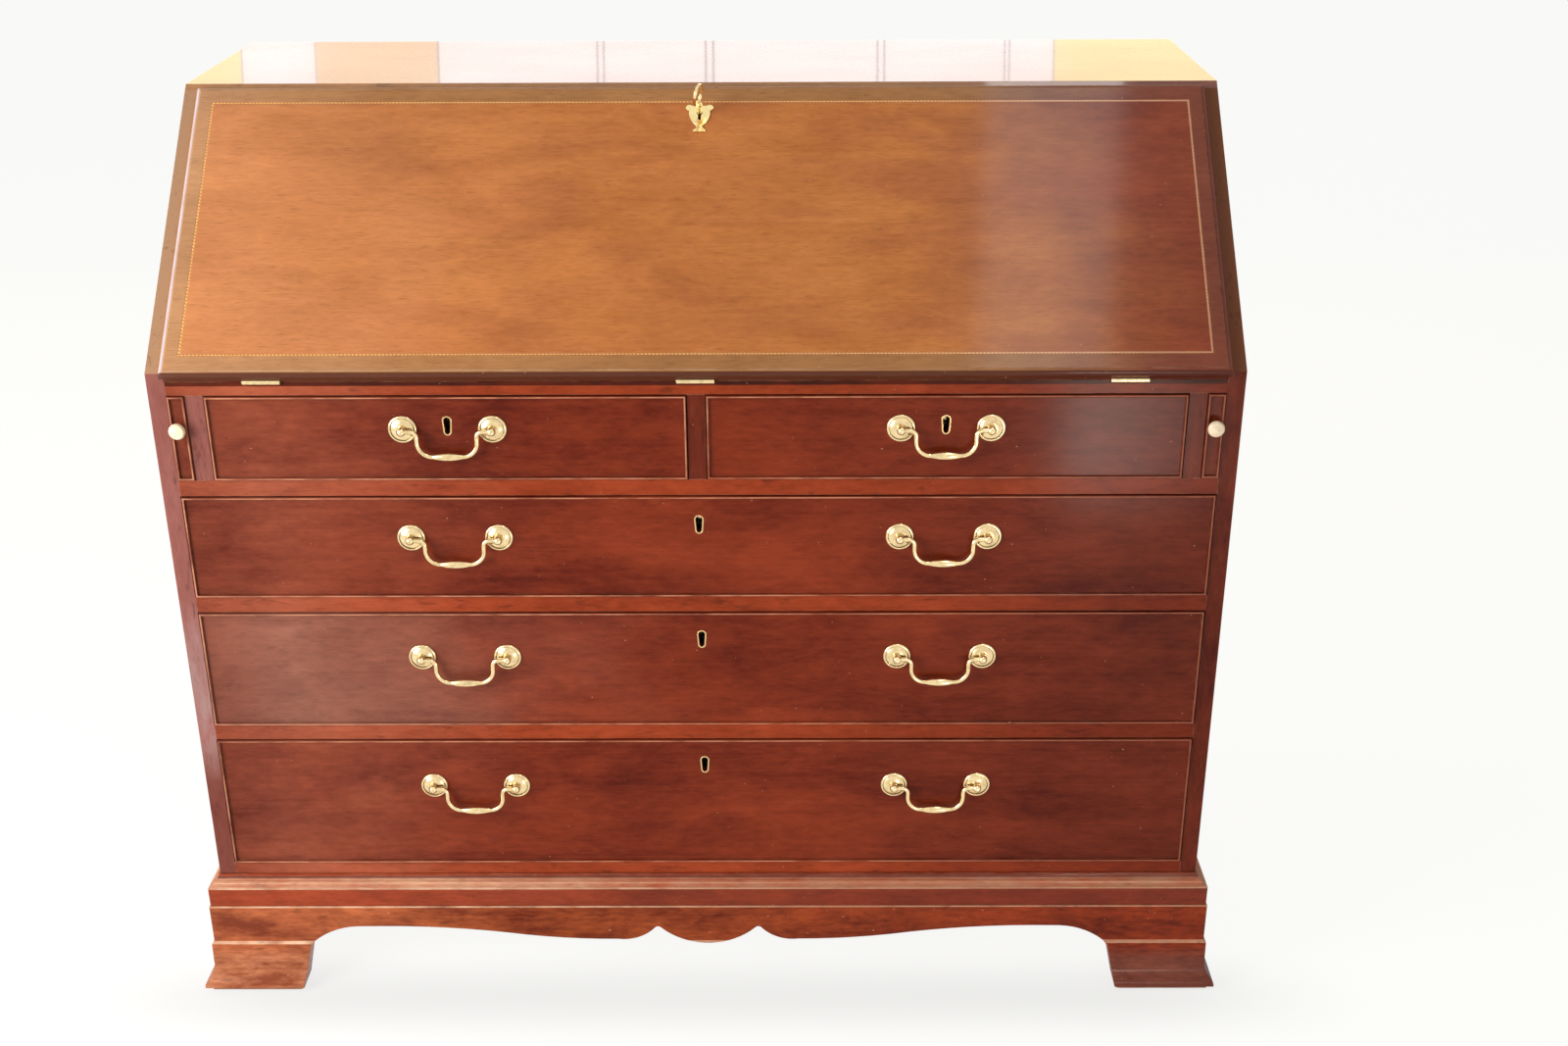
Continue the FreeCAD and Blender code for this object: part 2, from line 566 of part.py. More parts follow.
def beads(name, left, low, wide, high):
    """Four mitred cockbead strips, each with a rounded nose, round a front."""
    right = f"{left} + {wide}"
    top = f"{low} + {high}"
    runs = (("top", wide, left, top, Vector(1, 0, 0), 270),
            ("bottom", wide, right, low, Vector(0, 1, 1), 180),
            ("left", high, left, low, Vector(1, 1, 1), 240),
            ("right", high, right, top, Vector(-1, 1, 1), 120))
    strips = []
    for edge, length, x, z, axis, turn in runs:
        strip = wedge(f"{name}_{edge}_strip", X=("0", length), Y=("0", "bead_thick"), Z=("0", "bead_deep"),
                      X2=("bead_thick", f"{length} - bead_thick"), Z2=("0", "bead_deep"))
        strips.append(place(strip, x, f"{FRONT} - bead_out", z, turn, axis))
    doc.recompute(strips)
    return [nosed(strip) for strip in strips]


def nosed(strip):
    """Round the two long front edges of a cockbead strip."""
    flat = strip.Placement.inverse()
    rounded = doc.addObject("Part::Fillet", f"{strip.Name}_nosed")
    rounded.Base = strip
    radius = number("bead_round")
    picked = []
    for count, edge in enumerate(strip.Shape.Edges, start=1):
        start, end = [flat.multVec(vertex.Point) for vertex in edge.Vertexes]
        if abs(start.z) + abs(end.z) < NEAR and abs(start.y - end.y) < NEAR:
            picked.append((count, radius, radius))
    rounded.Edges = picked
    return rounded


def rebates(name, left, low, wide, high):
    """What a front loses round its edge to seat the cockbead."""
    depth = "(bead_deep - bead_out)"
    outer = box(f"{name}_rebate_outer", f"{left} - past", "-past", f"{low} - past", f"{wide} + 2 * past",
                f"past + {depth}", f"{high} + 2 * past")
    inner = box(f"{name}_rebate_inner", f"{left} + bead_thick", "-2 * past", f"{low} + bead_thick",
                f"{wide} - 2 * bead_thick", f"3 * past + {depth}", f"{high} - 2 * bead_thick")
    return cut(f"{name}_rebate", outer, [inner])


def keyhole_outline(inset):
    """A keyhole with a round head and a slightly narrower round foot."""
    head = f"(lining_wide / 2 - {inset})"
    foot = f"(lining_foot / 2 - {inset})"
    low = f"(lining_wide / 2 - lining_high + {inset})"
    turn = f"({low} + {foot})"
    return [(f"-{foot}", turn, foot), ("0", low, foot), (foot, turn),
            (head, "0", head), ("0", head, head), (f"-{head}", "0")]


def keyhole_plug(name, inset, depth):
    """A keyhole-shaped prism, from the face inwards; its origin is the middle of the round head."""
    owner = body(name)
    outline = sketch(owner, "XZ_Plane", f"{name}_outline")
    draw(outline, keyhole_outline(inset))
    pad(owner, outline, depth, reverse=True)
    return owner


def lock_case(name, high, deep, drop):
    """A lock's case with a bolt slot above and a keyhole in front; its origin is its top, front edge."""
    shell = box(f"{name}_shell", "-lock_wide / 2", "0", f"-({high})", "lock_wide", deep, high, "0")
    room = box(f"{name}_room", "-lock_wide / 2 + lock_wall", "lock_wall", f"-({high}) + lock_wall",
               "lock_wide - 2 * lock_wall", f"{deep} - 2 * lock_wall", f"{high} - 2 * lock_wall", "0")
    slot = box(f"{name}_slot", "-bolt_wide / 2 - bolt_play",
               f"{deep} - lock_wall - bolt_thick - 2 * bolt_play", "-2 * lock_wall",
               "bolt_wide + 2 * bolt_play", "bolt_thick + 2 * bolt_play", "2 * lock_wall + past", "0")
    eye = rod(f"{name}_eye", "entry_radius", "2 * lock_wall", 0, "-lock_wall / 2", f"-({drop})", -90, TILT)
    throat = box(f"{name}_throat", "-entry_wide / 2", "-lock_wall / 2", f"-({drop}) - entry_high",
                 "entry_wide", "2 * lock_wall", "entry_high", "0")
    return cut(name, shell, [room, slot, eye, throat])


def lock_bolt(name, deep):
    """A flat bolt in the back half of its case, drawn back below the case's top."""
    bar = box(f"{name}_bar", "-bolt_wide / 2", f"{deep} - lock_wall - bolt_thick - bolt_play",
              "-bolt_high - bolt_set", "bolt_wide", "bolt_thick", "bolt_high", "0")
    return held(name, bar)


def masters():
    """Pieces that repeat, modelled once at their own origin."""
    made = {}
    rim = "(rose_radius - rim_wide)"
    bore = "shank_radius + shank_gap"
    made["rose"] = turned("rose", [
        (bore, "0"), (bore, "-rose_thick"), ("rose_seat", "-rose_thick", "dome_radius"),
        (rim, "rim_step - rim_thick"), (rim, "-rim_thick", "rim_round"), ("rose_radius", "-rose_edge"),
        ("rose_radius", "0")])
    made["post"] = post()
    made["nut"] = turned("nut", [(bore, "front_thick"), ("nut_radius", "front_thick"),
                                 ("nut_radius", "nut_end"), (bore, "nut_end")])
    made["bail"] = bail()
    made["lining_recess"] = keyhole_plug("lining_recess", "0", "lining_deep")
    made["keyway"] = keyhole_plug("keyway", "lining_thick", "front_thick")
    ring = keyhole_plug("lining_ring", "0", "lining_deep")
    made["lining"] = cut("lining", ring, [keyhole_plug("lining_bore", "lining_thick", "lining_deep + past")])
    made["lock"] = lock_case("drawer_lock", "lock_high", "lock_deep", "key_drop - drawer_gap")
    made["bolt"] = lock_bolt("drawer_bolt", "lock_deep")
    made["knob"] = turned("loper_pull", [
        ("0", "0"), ("knob_neck", "0"), ("knob_neck", "-neck_long"),
        ("knob_radius", "-knob_full", "-knob_round"), ("knob_radius - knob_edge", "-knob_face"),
        ("0", "-knob_end")])
    return made


def post():
    """A handle's post: shank, collar, waisted neck and a ball drilled from one side for the bail."""
    neck_end = "-(pivot_out - sqrt(ball_radius ^ 2 - neck_radius ^ 2))"
    owner = turned("post", [
        ("0", "shank_long"), ("0", "-pivot_out - ball_radius", "ball_radius"),
        ("ball_radius", "-pivot_out", "ball_radius"), ("neck_radius", neck_end),
        ("collar_radius", "-rose_thick - collar_thick"), ("collar_radius", "-rose_thick"),
        ("shank_radius", "-rose_thick"), ("shank_radius", "shank_long")])
    drill = sketch(owner, "YZ_Plane", "post_drill", "-2 * pin_past")
    draw_circle(drill, "-pivot_out", "0", "pin_radius + pin_gap")
    pocket(owner, drill, reverse=True)
    return owner


def bail():
    """A swan-neck bail: pins, bends and necks swept as one rod, with a turned swelling along the grip."""
    owner = body("bail")
    path = sketch(owner, "XZ_Plane", "bail_path")
    grip = "(-neck_drop - bow_bend)"
    draw(path, [("post_spacing / 2 + pin_past", "0"), ("bail_neck + neck_bend", "0", "neck_bend"),
                ("bail_neck", "-neck_bend"), ("bail_neck", "-neck_drop", "-bow_bend"),
                ("bail_neck - bow_bend", grip), ("0", grip)], closed=False)
    section = sketch(owner, "YZ_Plane", "bail_section", "post_spacing / 2 + pin_past")
    draw_circle(section, "0", "0", "pin_radius")
    rods = owner.newObject("PartDesign::AdditivePipe", "bail_rod")
    rods.Profile = section
    rods.Spine = (path, [])
    mirror = owner.newObject("PartDesign::Mirrored", "bail_halves")
    mirror.Originals = [rods]
    mirror.MirrorPlane = (plane(owner, "YZ_Plane"), [""])
    owner.Tip = mirror
    swell = sketch(owner, "XZ_Plane", "grip_outline")
    half = "(bail_neck - bow_bend)"
    bulge = f"(({half} ^ 2 + grip_swell ^ 2) / (2 * grip_swell))"
    edge = f"{grip} + pin_radius"
    draw(swell, [(f"-{half}", grip), (half, grip), (half, edge, bulge), (f"-{half}", edge)])
    turning = owner.newObject("PartDesign::Revolution", "grip_turning")
    turning.Profile = swell
    turning.ReferenceAxis = (swell, ["Edge1"])
    owner.Tip = turning
    return owner


def drawer(label, middle, opening, floor, high, handle_up, grips, tails, made):
    """One drawer: a cockbeaded front lapped onto dovetailed sides, with its brasses, lock and bails."""
    left = f"({middle} - ({opening}) / 2 + drawer_gap)"
    wide = f"(({opening}) - 2 * drawer_gap)"
    low = f"({floor} + drawer_lift)"
    front_high = f"(({high}) - drawer_gap - drawer_lift)"
    top = f"({low} + {front_high})"
    key = (middle, FRONT, f"({floor} + ({high}) - key_drop)")
    lock = (middle, f"{FRONT} + front_thick - lock_deep", top)
    inside = f"({left} + drawer_side)"
    inside_wide = f"({wide} - 2 * drawer_side)"
    side_high = f"({front_high} - side_drop)"
    floor_low = f"({low} + floor_up)"
    above = f"({floor_low} + drawer_floor)"
    panel = (f"{inside} - groove_deep", "front_thick - groove_in", floor_low,
             f"{inside_wide} + 2 * groove_deep")
    groove = box(f"{label}_groove", *panel, "drawer_long", "drawer_floor")

    sockets = []
    sides = []
    step = f"(({side_high} - floor_up - drawer_floor) / {tails})"
    for side, x in (("left", left), ("right", f"{left} + {wide} - drawer_side")):
        name = f"{label}_{side}"
        behind = "drawer_long - front_thick"
        board = box(f"{name}_board", x, "front_thick", low, "drawer_side", behind, side_high)
        joint = [tail(f"{name}_tail_{count}", x, f"{above} + ({count} + 0.5) * {step}")
                 for count in range(tails)]
        sockets += joint
        sides.append(cut(f"{name}_side", fuse(f"{name}_blank", [board] + joint), [groove]))

    shafts = []
    brasses = [copy_of(f"{label}_lining", made["lining"], *key),
               copy_of(f"{label}_lock", made["lock"], *lock)]
    up = f"{floor} + {handle_up}"
    for word, grip in grips.items():
        node(f"{label}{word}_bail", [
            copy_of(f"{label}{word}_grip", made["bail"], grip, f"{FRONT} - pivot_out", up)])
        for hand, turn in ((-1, 0), (1, 180)):
            x = f"{grip} + {hand} * post_spacing / 2"
            name = f"{label}{word}_{turn}"
            shafts.append(rod(f"{name}_hole", "shank_radius + shank_gap", "front_thick + 2 * past", x,
                              f"{FRONT} - past", up, -90, TILT))
            brasses.append(copy_of(f"{name}_rose", made["rose"], x, FRONT, up))
            brasses.append(copy_of(f"{name}_post", made["post"], x, FRONT, up, turn, OUTWARD))
            brasses.append(copy_of(f"{name}_nut", made["nut"], x, FRONT, up))
    node(f"{label}_brasses", brasses)
    node(f"{label}_lock_bolt", [copy_of(f"{label}_bolt", made["bolt"], *lock)])

    recess = box(f"{label}_lock_recess", f"{middle} - lock_wide / 2", "front_thick - lock_deep",
                 f"{top} - lock_high", "lock_wide", "lock_deep + past", "lock_high + past")
    keyholes = [copy_of(f"{label}_lining_recess", made["lining_recess"], *key),
                copy_of(f"{label}_keyway", made["keyway"], *key)]
    board = box(f"{label}_board", left, "0", low, wide, "front_thick", front_high)
    tools = [rebates(label, left, low, wide, front_high), groove, recess] + keyholes + sockets + shafts
    node(f"{label}_front", [cut(f"{label}_face", board, tools)] + beads(label, left, low, wide, front_high))

    bottom = box(f"{label}_bottom", *panel, "drawer_long - front_thick + groove_in", "drawer_floor")
    end = box(f"{label}_end", inside, "drawer_long - drawer_back - back_set", above, inside_wide,
              "drawer_back", f"{side_high} - floor_up - drawer_floor - back_drop")
    node(f"{label}_box", sides + [bottom, end])


def tail(name, x, middle):
    """One dovetail, widest at its tip inside the drawer front."""
    item = wedge(name, X=("0", "drawer_side"), X2=("0", "drawer_side"), Y=("0", "tail_long"),
                 Z=("0", "tail_high"), Z2=("tail_flare", "tail_high - tail_flare"))
    return place(item, x, f"{FRONT} + front_thick - tail_long", f"{middle} - tail_high / 2")


def drawers(made):
    """Two short drawers and three long ones."""
    short_wide = f"({PARTITION} - muntin_wide / 2)"
    for side, middle in (("left", f"-{SHORT_MIDDLE}"), ("right", SHORT_MIDDLE)):
        drawer(f"short_{side}_drawer", middle, short_wide, SHORT, "short_high", "short_handle_up",
               {"": middle}, 2, made)
    pair = {"_left": "-handle_offset", "_right": "handle_offset"}
    for name, floor, word, tails in (("upper", LONG_ONE, "long_one", 3), ("middle", LONG_TWO, "long_two", 3),
                                     ("lower", LONG_THREE, "long_three", 4)):
        drawer(f"{name}_long_drawer", "0", f"2 * {INNER}", floor, f"{word}_high", f"{word}_handle_up",
               pair, tails, made)


def lopers(made):
    """Two bearers that slide out to carry the open fall, beaded like the drawers."""
    wide = "(loper_bay - 2 * loper_gap)"
    low = f"({SHORT} + loper_gap)"
    high = "(short_high - 2 * loper_gap)"
    for side, start in (("left", f"-{INNER} + loper_gap"), ("right", f"{INNER} - loper_bay + loper_gap")):
        name = f"{side}_loper"
        bar = box(f"{name}_bar", start, "0", low, wide, "loper_long", high)
        shaped = cut(f"{name}_shaped", bar, [rebates(name, start, low, wide, high)])
        node(name, [shaped] + beads(name, start, low, wide, high))
        node(f"{name}_knob", [copy_of(f"{side}_pull", made["knob"], f"{start} + {wide} / 2", FRONT,
                                      f"{SHORT} + knob_up")])


# Fall

def fall():
    """The sloping fall: a thumbnail lip over the case, a raised field, and beds for what is let into it."""
    owner = body("fall_body")
    lip = sketch(owner, "XY_Plane", "fall_lip", "lip_gap")
    draw_box(lip, "-lip_half", FALL_EDGE, "lip_half", "lip_top")
    lip_pad = pad(owner, lip, f"{FACE_OUT} - field_step - lip_gap")
    doc.recompute()
    level = number(f"{FACE_OUT} - field_step")
    rounding = owner.newObject("PartDesign::Fillet", "thumbnail")
    rounding.Base = (lip_pad, [f"Edge{count}" for count, edge in enumerate(lip_pad.Shape.Edges, start=1)
                               if all(abs(vertex.Z - level) < NEAR for vertex in edge.Vertexes)])
    rounding.setExpression("Radius", formula("lip_round"))
    field = sketch(owner, "XY_Plane", "fall_field", f"{FACE_OUT} - field_step")
    draw_box(field, "field_inset - lip_half", f"{FALL_EDGE} + field_inset", "lip_half - field_inset",
             "lip_top - field_inset")
    pad(owner, field, "field_step")
    inner = sketch(owner, "XY_Plane", "fall_inner", "lip_gap")
    draw_box(inner, f"-{INNER} + fall_side_gap", FALL_EDGE, f"{INNER} - fall_side_gap", "fall_inner_top")
    pad(owner, inner, f"lip_gap - {PIVOT_OUT}", reverse=True)

    groove = sketch(owner, "XY_Plane", "string_groove", FACE_OUT)
    draw_string(groove)
    pocket(owner, groove, "string_deep")
    leather_bed = sketch(owner, "XY_Plane", "leather_bed", PIVOT_OUT)
    draw_box(leather_bed, "-leather_half", "leather_low", "leather_half", "leather_high")
    pocket(owner, leather_bed, "leather_thick", reverse=True)
    lock_bed = sketch(owner, "XY_Plane", "fall_lock_bed", PIVOT_OUT)
    draw_box(lock_bed, "-lock_wide / 2", "fall_inner_top - fall_lock_high", "lock_wide / 2",
             "fall_inner_top + past")
    pocket(owner, lock_bed, "fall_lock_deep", reverse=True)
    keyway = sketch(owner, "XY_Plane", "fall_keyway", FACE_OUT)
    draw(keyway, fall_keyhole())
    pocket(owner, keyway)
    gains = sketch(owner, "XY_Plane", "fall_leaf_gains", PIVOT_OUT)
    rooms = sketch(owner, "XY_Plane", "fall_knuckle_gains", PIVOT_OUT)
    half = "(hinge_long / 2 + knuckle_gap)"
    for middle in HINGES:
        ends = [f"{middle} - {half}", f"{FALL_EDGE} - past", f"{middle} + {half}"]
        draw_box(gains, *ends, f"{PIVOT_ALONG} + leaf_wide + knuckle_gap")
        draw_box(rooms, *ends, f"{PIVOT_ALONG} + knuckle_radius + knuckle_room")
    pocket(owner, gains, "leaf_thick", reverse=True)
    pocket(owner, rooms, "knuckle_radius + knuckle_room", reverse=True)
    node("fall_board", [place_on_slope(owner)])


def draw_string(item):
    """The two outlines of the boxwood line."""
    for edge in ("string_wide / 2", "-string_wide / 2"):
        draw_box(item, f"-string_half - {edge}", f"string_low - {edge}", f"string_half + {edge}",
                 f"string_high + {edge}")


def fall_inlays():
    """The boxwood line let into the fall's face, and the leather on its inner side."""
    string = body("stringing_body")
    line = sketch(string, "XY_Plane", "stringing_line", f"{FACE_OUT} - string_deep")
    draw_string(line)
    pad(string, line, "string_deep")
    node("fall_stringing", [place_on_slope(string)])
    leather = body("leather_body")
    skin = sketch(leather, "XY_Plane", "leather_outline", PIVOT_OUT)
    draw_box(skin, "-leather_half", "leather_low", "leather_half", "leather_high")
    pad(leather, skin, "leather_thick")
    node("fall_leather", [place_on_slope(leather)])


def fall_keyhole():
    """The fall's keyhole: a round eye over a narrow slot."""
    eye = "(key_shank + eye_play)"
    slot = "(entry_wide / 2)"
    low = "fall_key_at - entry_high"
    waist = f"fall_key_at - sqrt({eye} ^ 2 - {slot} ^ 2)"
    return [(f"-{slot}", low), (slot, low), (slot, waist, eye), ("0", f"fall_key_at + {eye}", eye),
            (f"-{slot}", waist)]


def fall_lock():
    """The fall's lock with its bolt, vase escutcheon and key."""
    upright = ("slope_angle - 90", TILT)
    seat = (0, *slope_point("fall_inner_top", f"{PIVOT_OUT} + fall_lock_deep"), *upright)
    case = lock_case("fall_lock", "fall_lock_high", "fall_lock_deep", "fall_inner_top - fall_key_at")
    node("fall_lock_case", [place(case, *seat)])
    node("fall_lock_bolt", [place(lock_bolt("fall_bolt", "fall_lock_deep"), *seat)])
    node("fall_escutcheon", [place_on_slope(vase())])
    node("fall_key", [place(key(), 0, *slope_point("fall_key_at", FACE_OUT), *upright)])


def vase():
    """A flat vase with a spreading foot, a full bowl and a lobe each side of its mouth."""
    plate = body("escutcheon_body")
    outline = sketch(plate, "XY_Plane", "escutcheon_outline", FACE_OUT)
    right = [("vase_foot", "foot_low"), ("vase_foot", "foot_high", "-foot_hollow"),
             ("vase_stem", "stem_up", "bowl_round"), ("vase_bowl", "bowl_up"), ("vase_bowl", "brim_up"),
             ("vase_lobe", "lobe_up", "lobe_round"), ("lobe_in", "lobe_top", "-lip_hollow"),
             ("vase_mouth", "mouth_up")]
    around = right + mirrored(right)
    draw(outline, [(point[0], f"fall_key_at + {point[1]}", *point[2:]) for point in around])
    draw(outline, fall_keyhole())
    pad(plate, outline, "vase_thick")
    return plate


def key():
    """A key in its lock: shank along Y, bit hanging inside, oval bow outside."""
    bow = body("key_bow")
    outline = sketch(bow, "YZ_Plane", "bow_outline", "-bow_thick / 2")
    middle = "(-(bow_near + bow_far) / 2)"
    for inset in ("0", "bow_ring"):
        half = f"(bow_half - {inset})"
        turn = f"(bow_turn - {inset})"
        draw(outline, [(f"-bow_near - {inset}", "0", turn), (middle, half, turn),
                       (f"{inset} - bow_far", "0", turn), (middle, f"-{half}", turn)])
    pad(bow, outline, "bow_thick")
    shank = rod("key_shank_rod", "key_shank", "key_out + key_in", 0, "-key_out", 0, -90, TILT)
    ring = rod("key_ring", "key_shank + ring_over", "ring_thick", 0, "-ring_at", 0, -90, TILT)
    bit = box("key_bit", "-bit_thick / 2", "bit_at", "-bit_high", "bit_thick", "bit_wide", "bit_high", "0")
    whole = fuse("key_blank", [bow, shank, ring, bit])
    return held("key_turned", place(whole, 0, 0, 0, "key_twist", OUTWARD))


def hinges():
    """Three butt hinges: a leaf in the upper rail, a leaf in the fall and a pin through the knuckles."""
    half = "(hinge_long / 2)"
    middle_half = "(knuckle_middle / 2)"
    swing = ("-knuckle_radius - past", "-knuckle_radius - past")
    clear = ("2 * knuckle_radius + past + knuckle_room", "2 * (knuckle_radius + past)", "0")
    along = (0, 0, 90, OUTWARD)
    bore = rod("knuckle_bore", "hinge_pin + hinge_pin_gap", "hinge_long + 2 * past",
               f"-{half} - past", *along)
    case_plate = box("case_leaf_plate", f"-{half}", "0", "-leaf_thick", "hinge_long", "leaf_wide",
                     "leaf_thick", "0")
    outer = f"{half} - {middle_half} - knuckle_gap"
    ends = [rod(f"case_knuckle_{count}", "knuckle_radius", outer, start, *along)
            for count, start in enumerate((f"-{half}", f"{middle_half} + knuckle_gap"))]
    notch = box("case_leaf_notch", f"-{middle_half} - knuckle_gap", *swing,
                f"2 * ({middle_half} + knuckle_gap)", *clear)
    case_leaf = cut("case_leaf", fuse("case_leaf_blank", [case_plate] + ends), [bore, notch])
    fall_plate = box("fall_leaf_plate", f"-{half}", "0", "0", "hinge_long", "leaf_wide", "leaf_thick", "0")
    fall_knuckle = rod("fall_knuckle", "knuckle_radius", "knuckle_middle", f"-{middle_half}", *along)
    notches = [box(f"fall_leaf_notch_{count}", start, *swing, f"{half} - {middle_half} + past", *clear)
               for count, start in enumerate((f"-{half} - past", middle_half))]
    fall_leaf = cut("fall_leaf", fuse("fall_leaf_blank", [fall_plate, fall_knuckle]), [bore] + notches)
    pin = held("hinge_pin_master", rod("hinge_pin_rod", "hinge_pin", "hinge_long", f"-{half}", *along))
    fixed = []
    swinging = []
    for count, middle in enumerate(HINGES):
        spot = (middle, f"{FRONT} - hinge_out", BED_TOP)
        fixed.append(copy_of(f"case_leaf_{count}", case_leaf, *spot))
        fixed.append(copy_of(f"hinge_pin_{count}", pin, *spot))
        swinging.append(copy_of(f"fall_leaf_{count}", fall_leaf, *spot, "slope_angle", TILT))
    node("case_hinge_leaves", fixed)
    node("fall_hinge_leaves", swinging)


# Interior

def interior():
    """Eight pigeonholes with scooped partitions and arched valances, over a row of four small drawers."""
    drawer_count = 4
    hole_count = 8
    shelf = f"({BED_TOP} + nest_row)"
    deep = f"({BACK} - nest_front)"
    gap = f"((2 * {INNER} - {drawer_count + 1} * nest_board) / {drawer_count})"
    hole = f"((2 * {INNER} - {hole_count + 1} * hole_board) / {hole_count})"
    boards = [box("nest_shelf", f"-{INNER}", "nest_front", shelf, f"2 * {INNER}", deep, "nest_board")]
    for count in range(drawer_count + 1):
        boards.append(box(f"nest_upright_{count}", f"-{INNER} + {count} * ({gap} + nest_board)", "nest_front",
                          BED_TOP, "nest_board", deep, "nest_row"))
    scooped = partition(f"({shelf} + nest_board)")
    boards += [
        copy_of(f"nest_partition_{count}", scooped, f"-{INNER} + {count} * ({hole} + hole_board)", FRONT, 0)
        for count in range(hole_count + 1)]
    node("pigeonhole_boards", boards)
    arch = valance(f"({hole} / 2)")
    first = f"-{INNER} + hole_board + {hole} / 2"
    node("pigeonhole_valances", [
        copy_of(f"valance_{count}", arch, f"{first} + {count} * ({hole} + hole_board)",
                f"{FRONT} + nest_front + valance_set", TOP_UNDER) for count in range(hole_count)])
    pull = turned("small_pull", [
        ("0", "0"), ("pull_neck", "0"), ("pull_neck", "-pull_neck_long"),
        ("pull_radius", "-pull_full", "-pull_round"), ("pull_radius - pull_edge", "-pull_face"),
        ("0", "-pull_end")])
    for count in range(drawer_count):
        start = f"(-{INNER} + nest_board + {count} * ({gap} + nest_board))"
        small_drawer(f"small_drawer_{count + 1}", start, gap, pull)


def partition(low):
    """A thin upright between pigeonholes, its front edge scooped back."""
    owner = body("nest_partition")
    outline = sketch(owner, "YZ_Plane", "partition_outline")
    draw(outline, [("nest_front", low), (BACK, low), (BACK, TOP_UNDER), ("nest_front", TOP_UNDER),
                   ("nest_front", f"{TOP_UNDER} - valance_high", "-scoop_radius"),
                   ("nest_front", f"{low} + scoop_foot")])
    pad(owner, outline, "hole_board")
    return owner


def valance(half):
    """A small arched board at the head of a pigeonhole, rising to a point in the middle."""
    owner = body("nest_valance")
    outline = sketch(owner, "XZ_Plane", "valance_outline", "-valance_thick")
    right = [("0", "-valance_high / 3", "valance_radius"),
             (f"{half} * valance_wave", "-valance_high / 2", "-valance_radius"),
             (half, "-valance_high"), (half, "0")]
    draw(outline, right + mirrored(right)[:-1])
    pad(owner, outline, "valance_thick")
    return owner


def small_drawer(name, start, gap, pull):
    """One of the small drawers behind the fall, with a turned pull."""
    left = f"({start} + small_gap)"
    wide = f"({gap} - 2 * small_gap)"
    low = f"({BED_TOP} + small_gap)"
    high = "(nest_row - 2 * small_gap)"
    inside = f"({left} + small_side)"
    inside_wide = f"({wide} - 2 * small_side)"
    behind = "(nest_front + small_front)"
    long = "small_back - small_front"
    floor_low = f"({low} + small_floor_up)"
    pieces = [box(f"{name}_face", left, "nest_front", low, wide, "small_front", high)]
    for side, x in (("left", left), ("right", f"{left} + {wide} - small_side")):
        pieces.append(box(f"{name}_{side}", x, behind, low, "small_side", long, f"{high} - small_drop"))
    pieces.append(box(f"{name}_bottom", inside, behind, floor_low, inside_wide, long, "small_floor"))
    pieces.append(box(f"{name}_end", inside, "nest_front + small_back - small_side",
                      f"{floor_low} + small_floor", inside_wide, "small_side", f"{high} - small_end_drop"))
    pieces.append(copy_of(f"{name}_pull", pull, f"{left} + {wide} / 2", f"{FRONT} + nest_front",
                          f"{low} + {high} / 2"))
    node(name, pieces)


def check():
    """Stop if any object failed, a cut took nothing away, or a sub-part is not made of valid solids."""
    for item in doc.Objects:
        if "Invalid" in item.State or "Error" in item.State:
            raise RuntimeError(f"{item.Name}: {item.State}")
        if item.TypeId == "PartDesign::Pocket":
            before = item.BaseFeature.Shape.Volume
        elif item.TypeId == "Part::Cut":
            before = item.Base.Shape.Volume
        else:
            continue
        if item.Shape.Volume > before - LEAST_CUT:
            raise RuntimeError(f"{item.Name} cuts nothing")
    for label, item in nodes.items():
        if item.Shape.isNull() or not item.Shape.isValid() or not item.Shape.Solids:
            raise RuntimeError(f"{label} is not a valid solid")


def build():
    side_panel("left_side", -1)
    side_panel("right_side", 1)
    top_board()
    rails()
    inner_boards()
    base_moulding()
    feet()
    apron()
    glue_blocks()
    made = masters()
    drawers(made)
    lopers(made)
    fall()
    fall_inlays()
    fall_lock()
    hinges()
    interior()
    doc.recompute()
    check()
    os.makedirs("parts", exist_ok=True)
    for label, item in nodes.items():
        item.Shape.exportStep(f"parts/{label}.step")
    print(len(nodes), "sub-parts,", sum(len(item.Shape.Solids) for item in nodes.values()), "solids")


build()
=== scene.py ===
"""Looks of a slant-front bureau: its finishes, its small metal fixings and a studio.

The construction comes from the CAD nodes of the frame. The operators below give every node its finish, add
the fixings that are too small for the solids, and set the stage.
"""

import json
import math

import bpy
import numpy as np
from bpy.props import FloatProperty, FloatVectorProperty, PointerProperty
from mathutils import Matrix, Vector


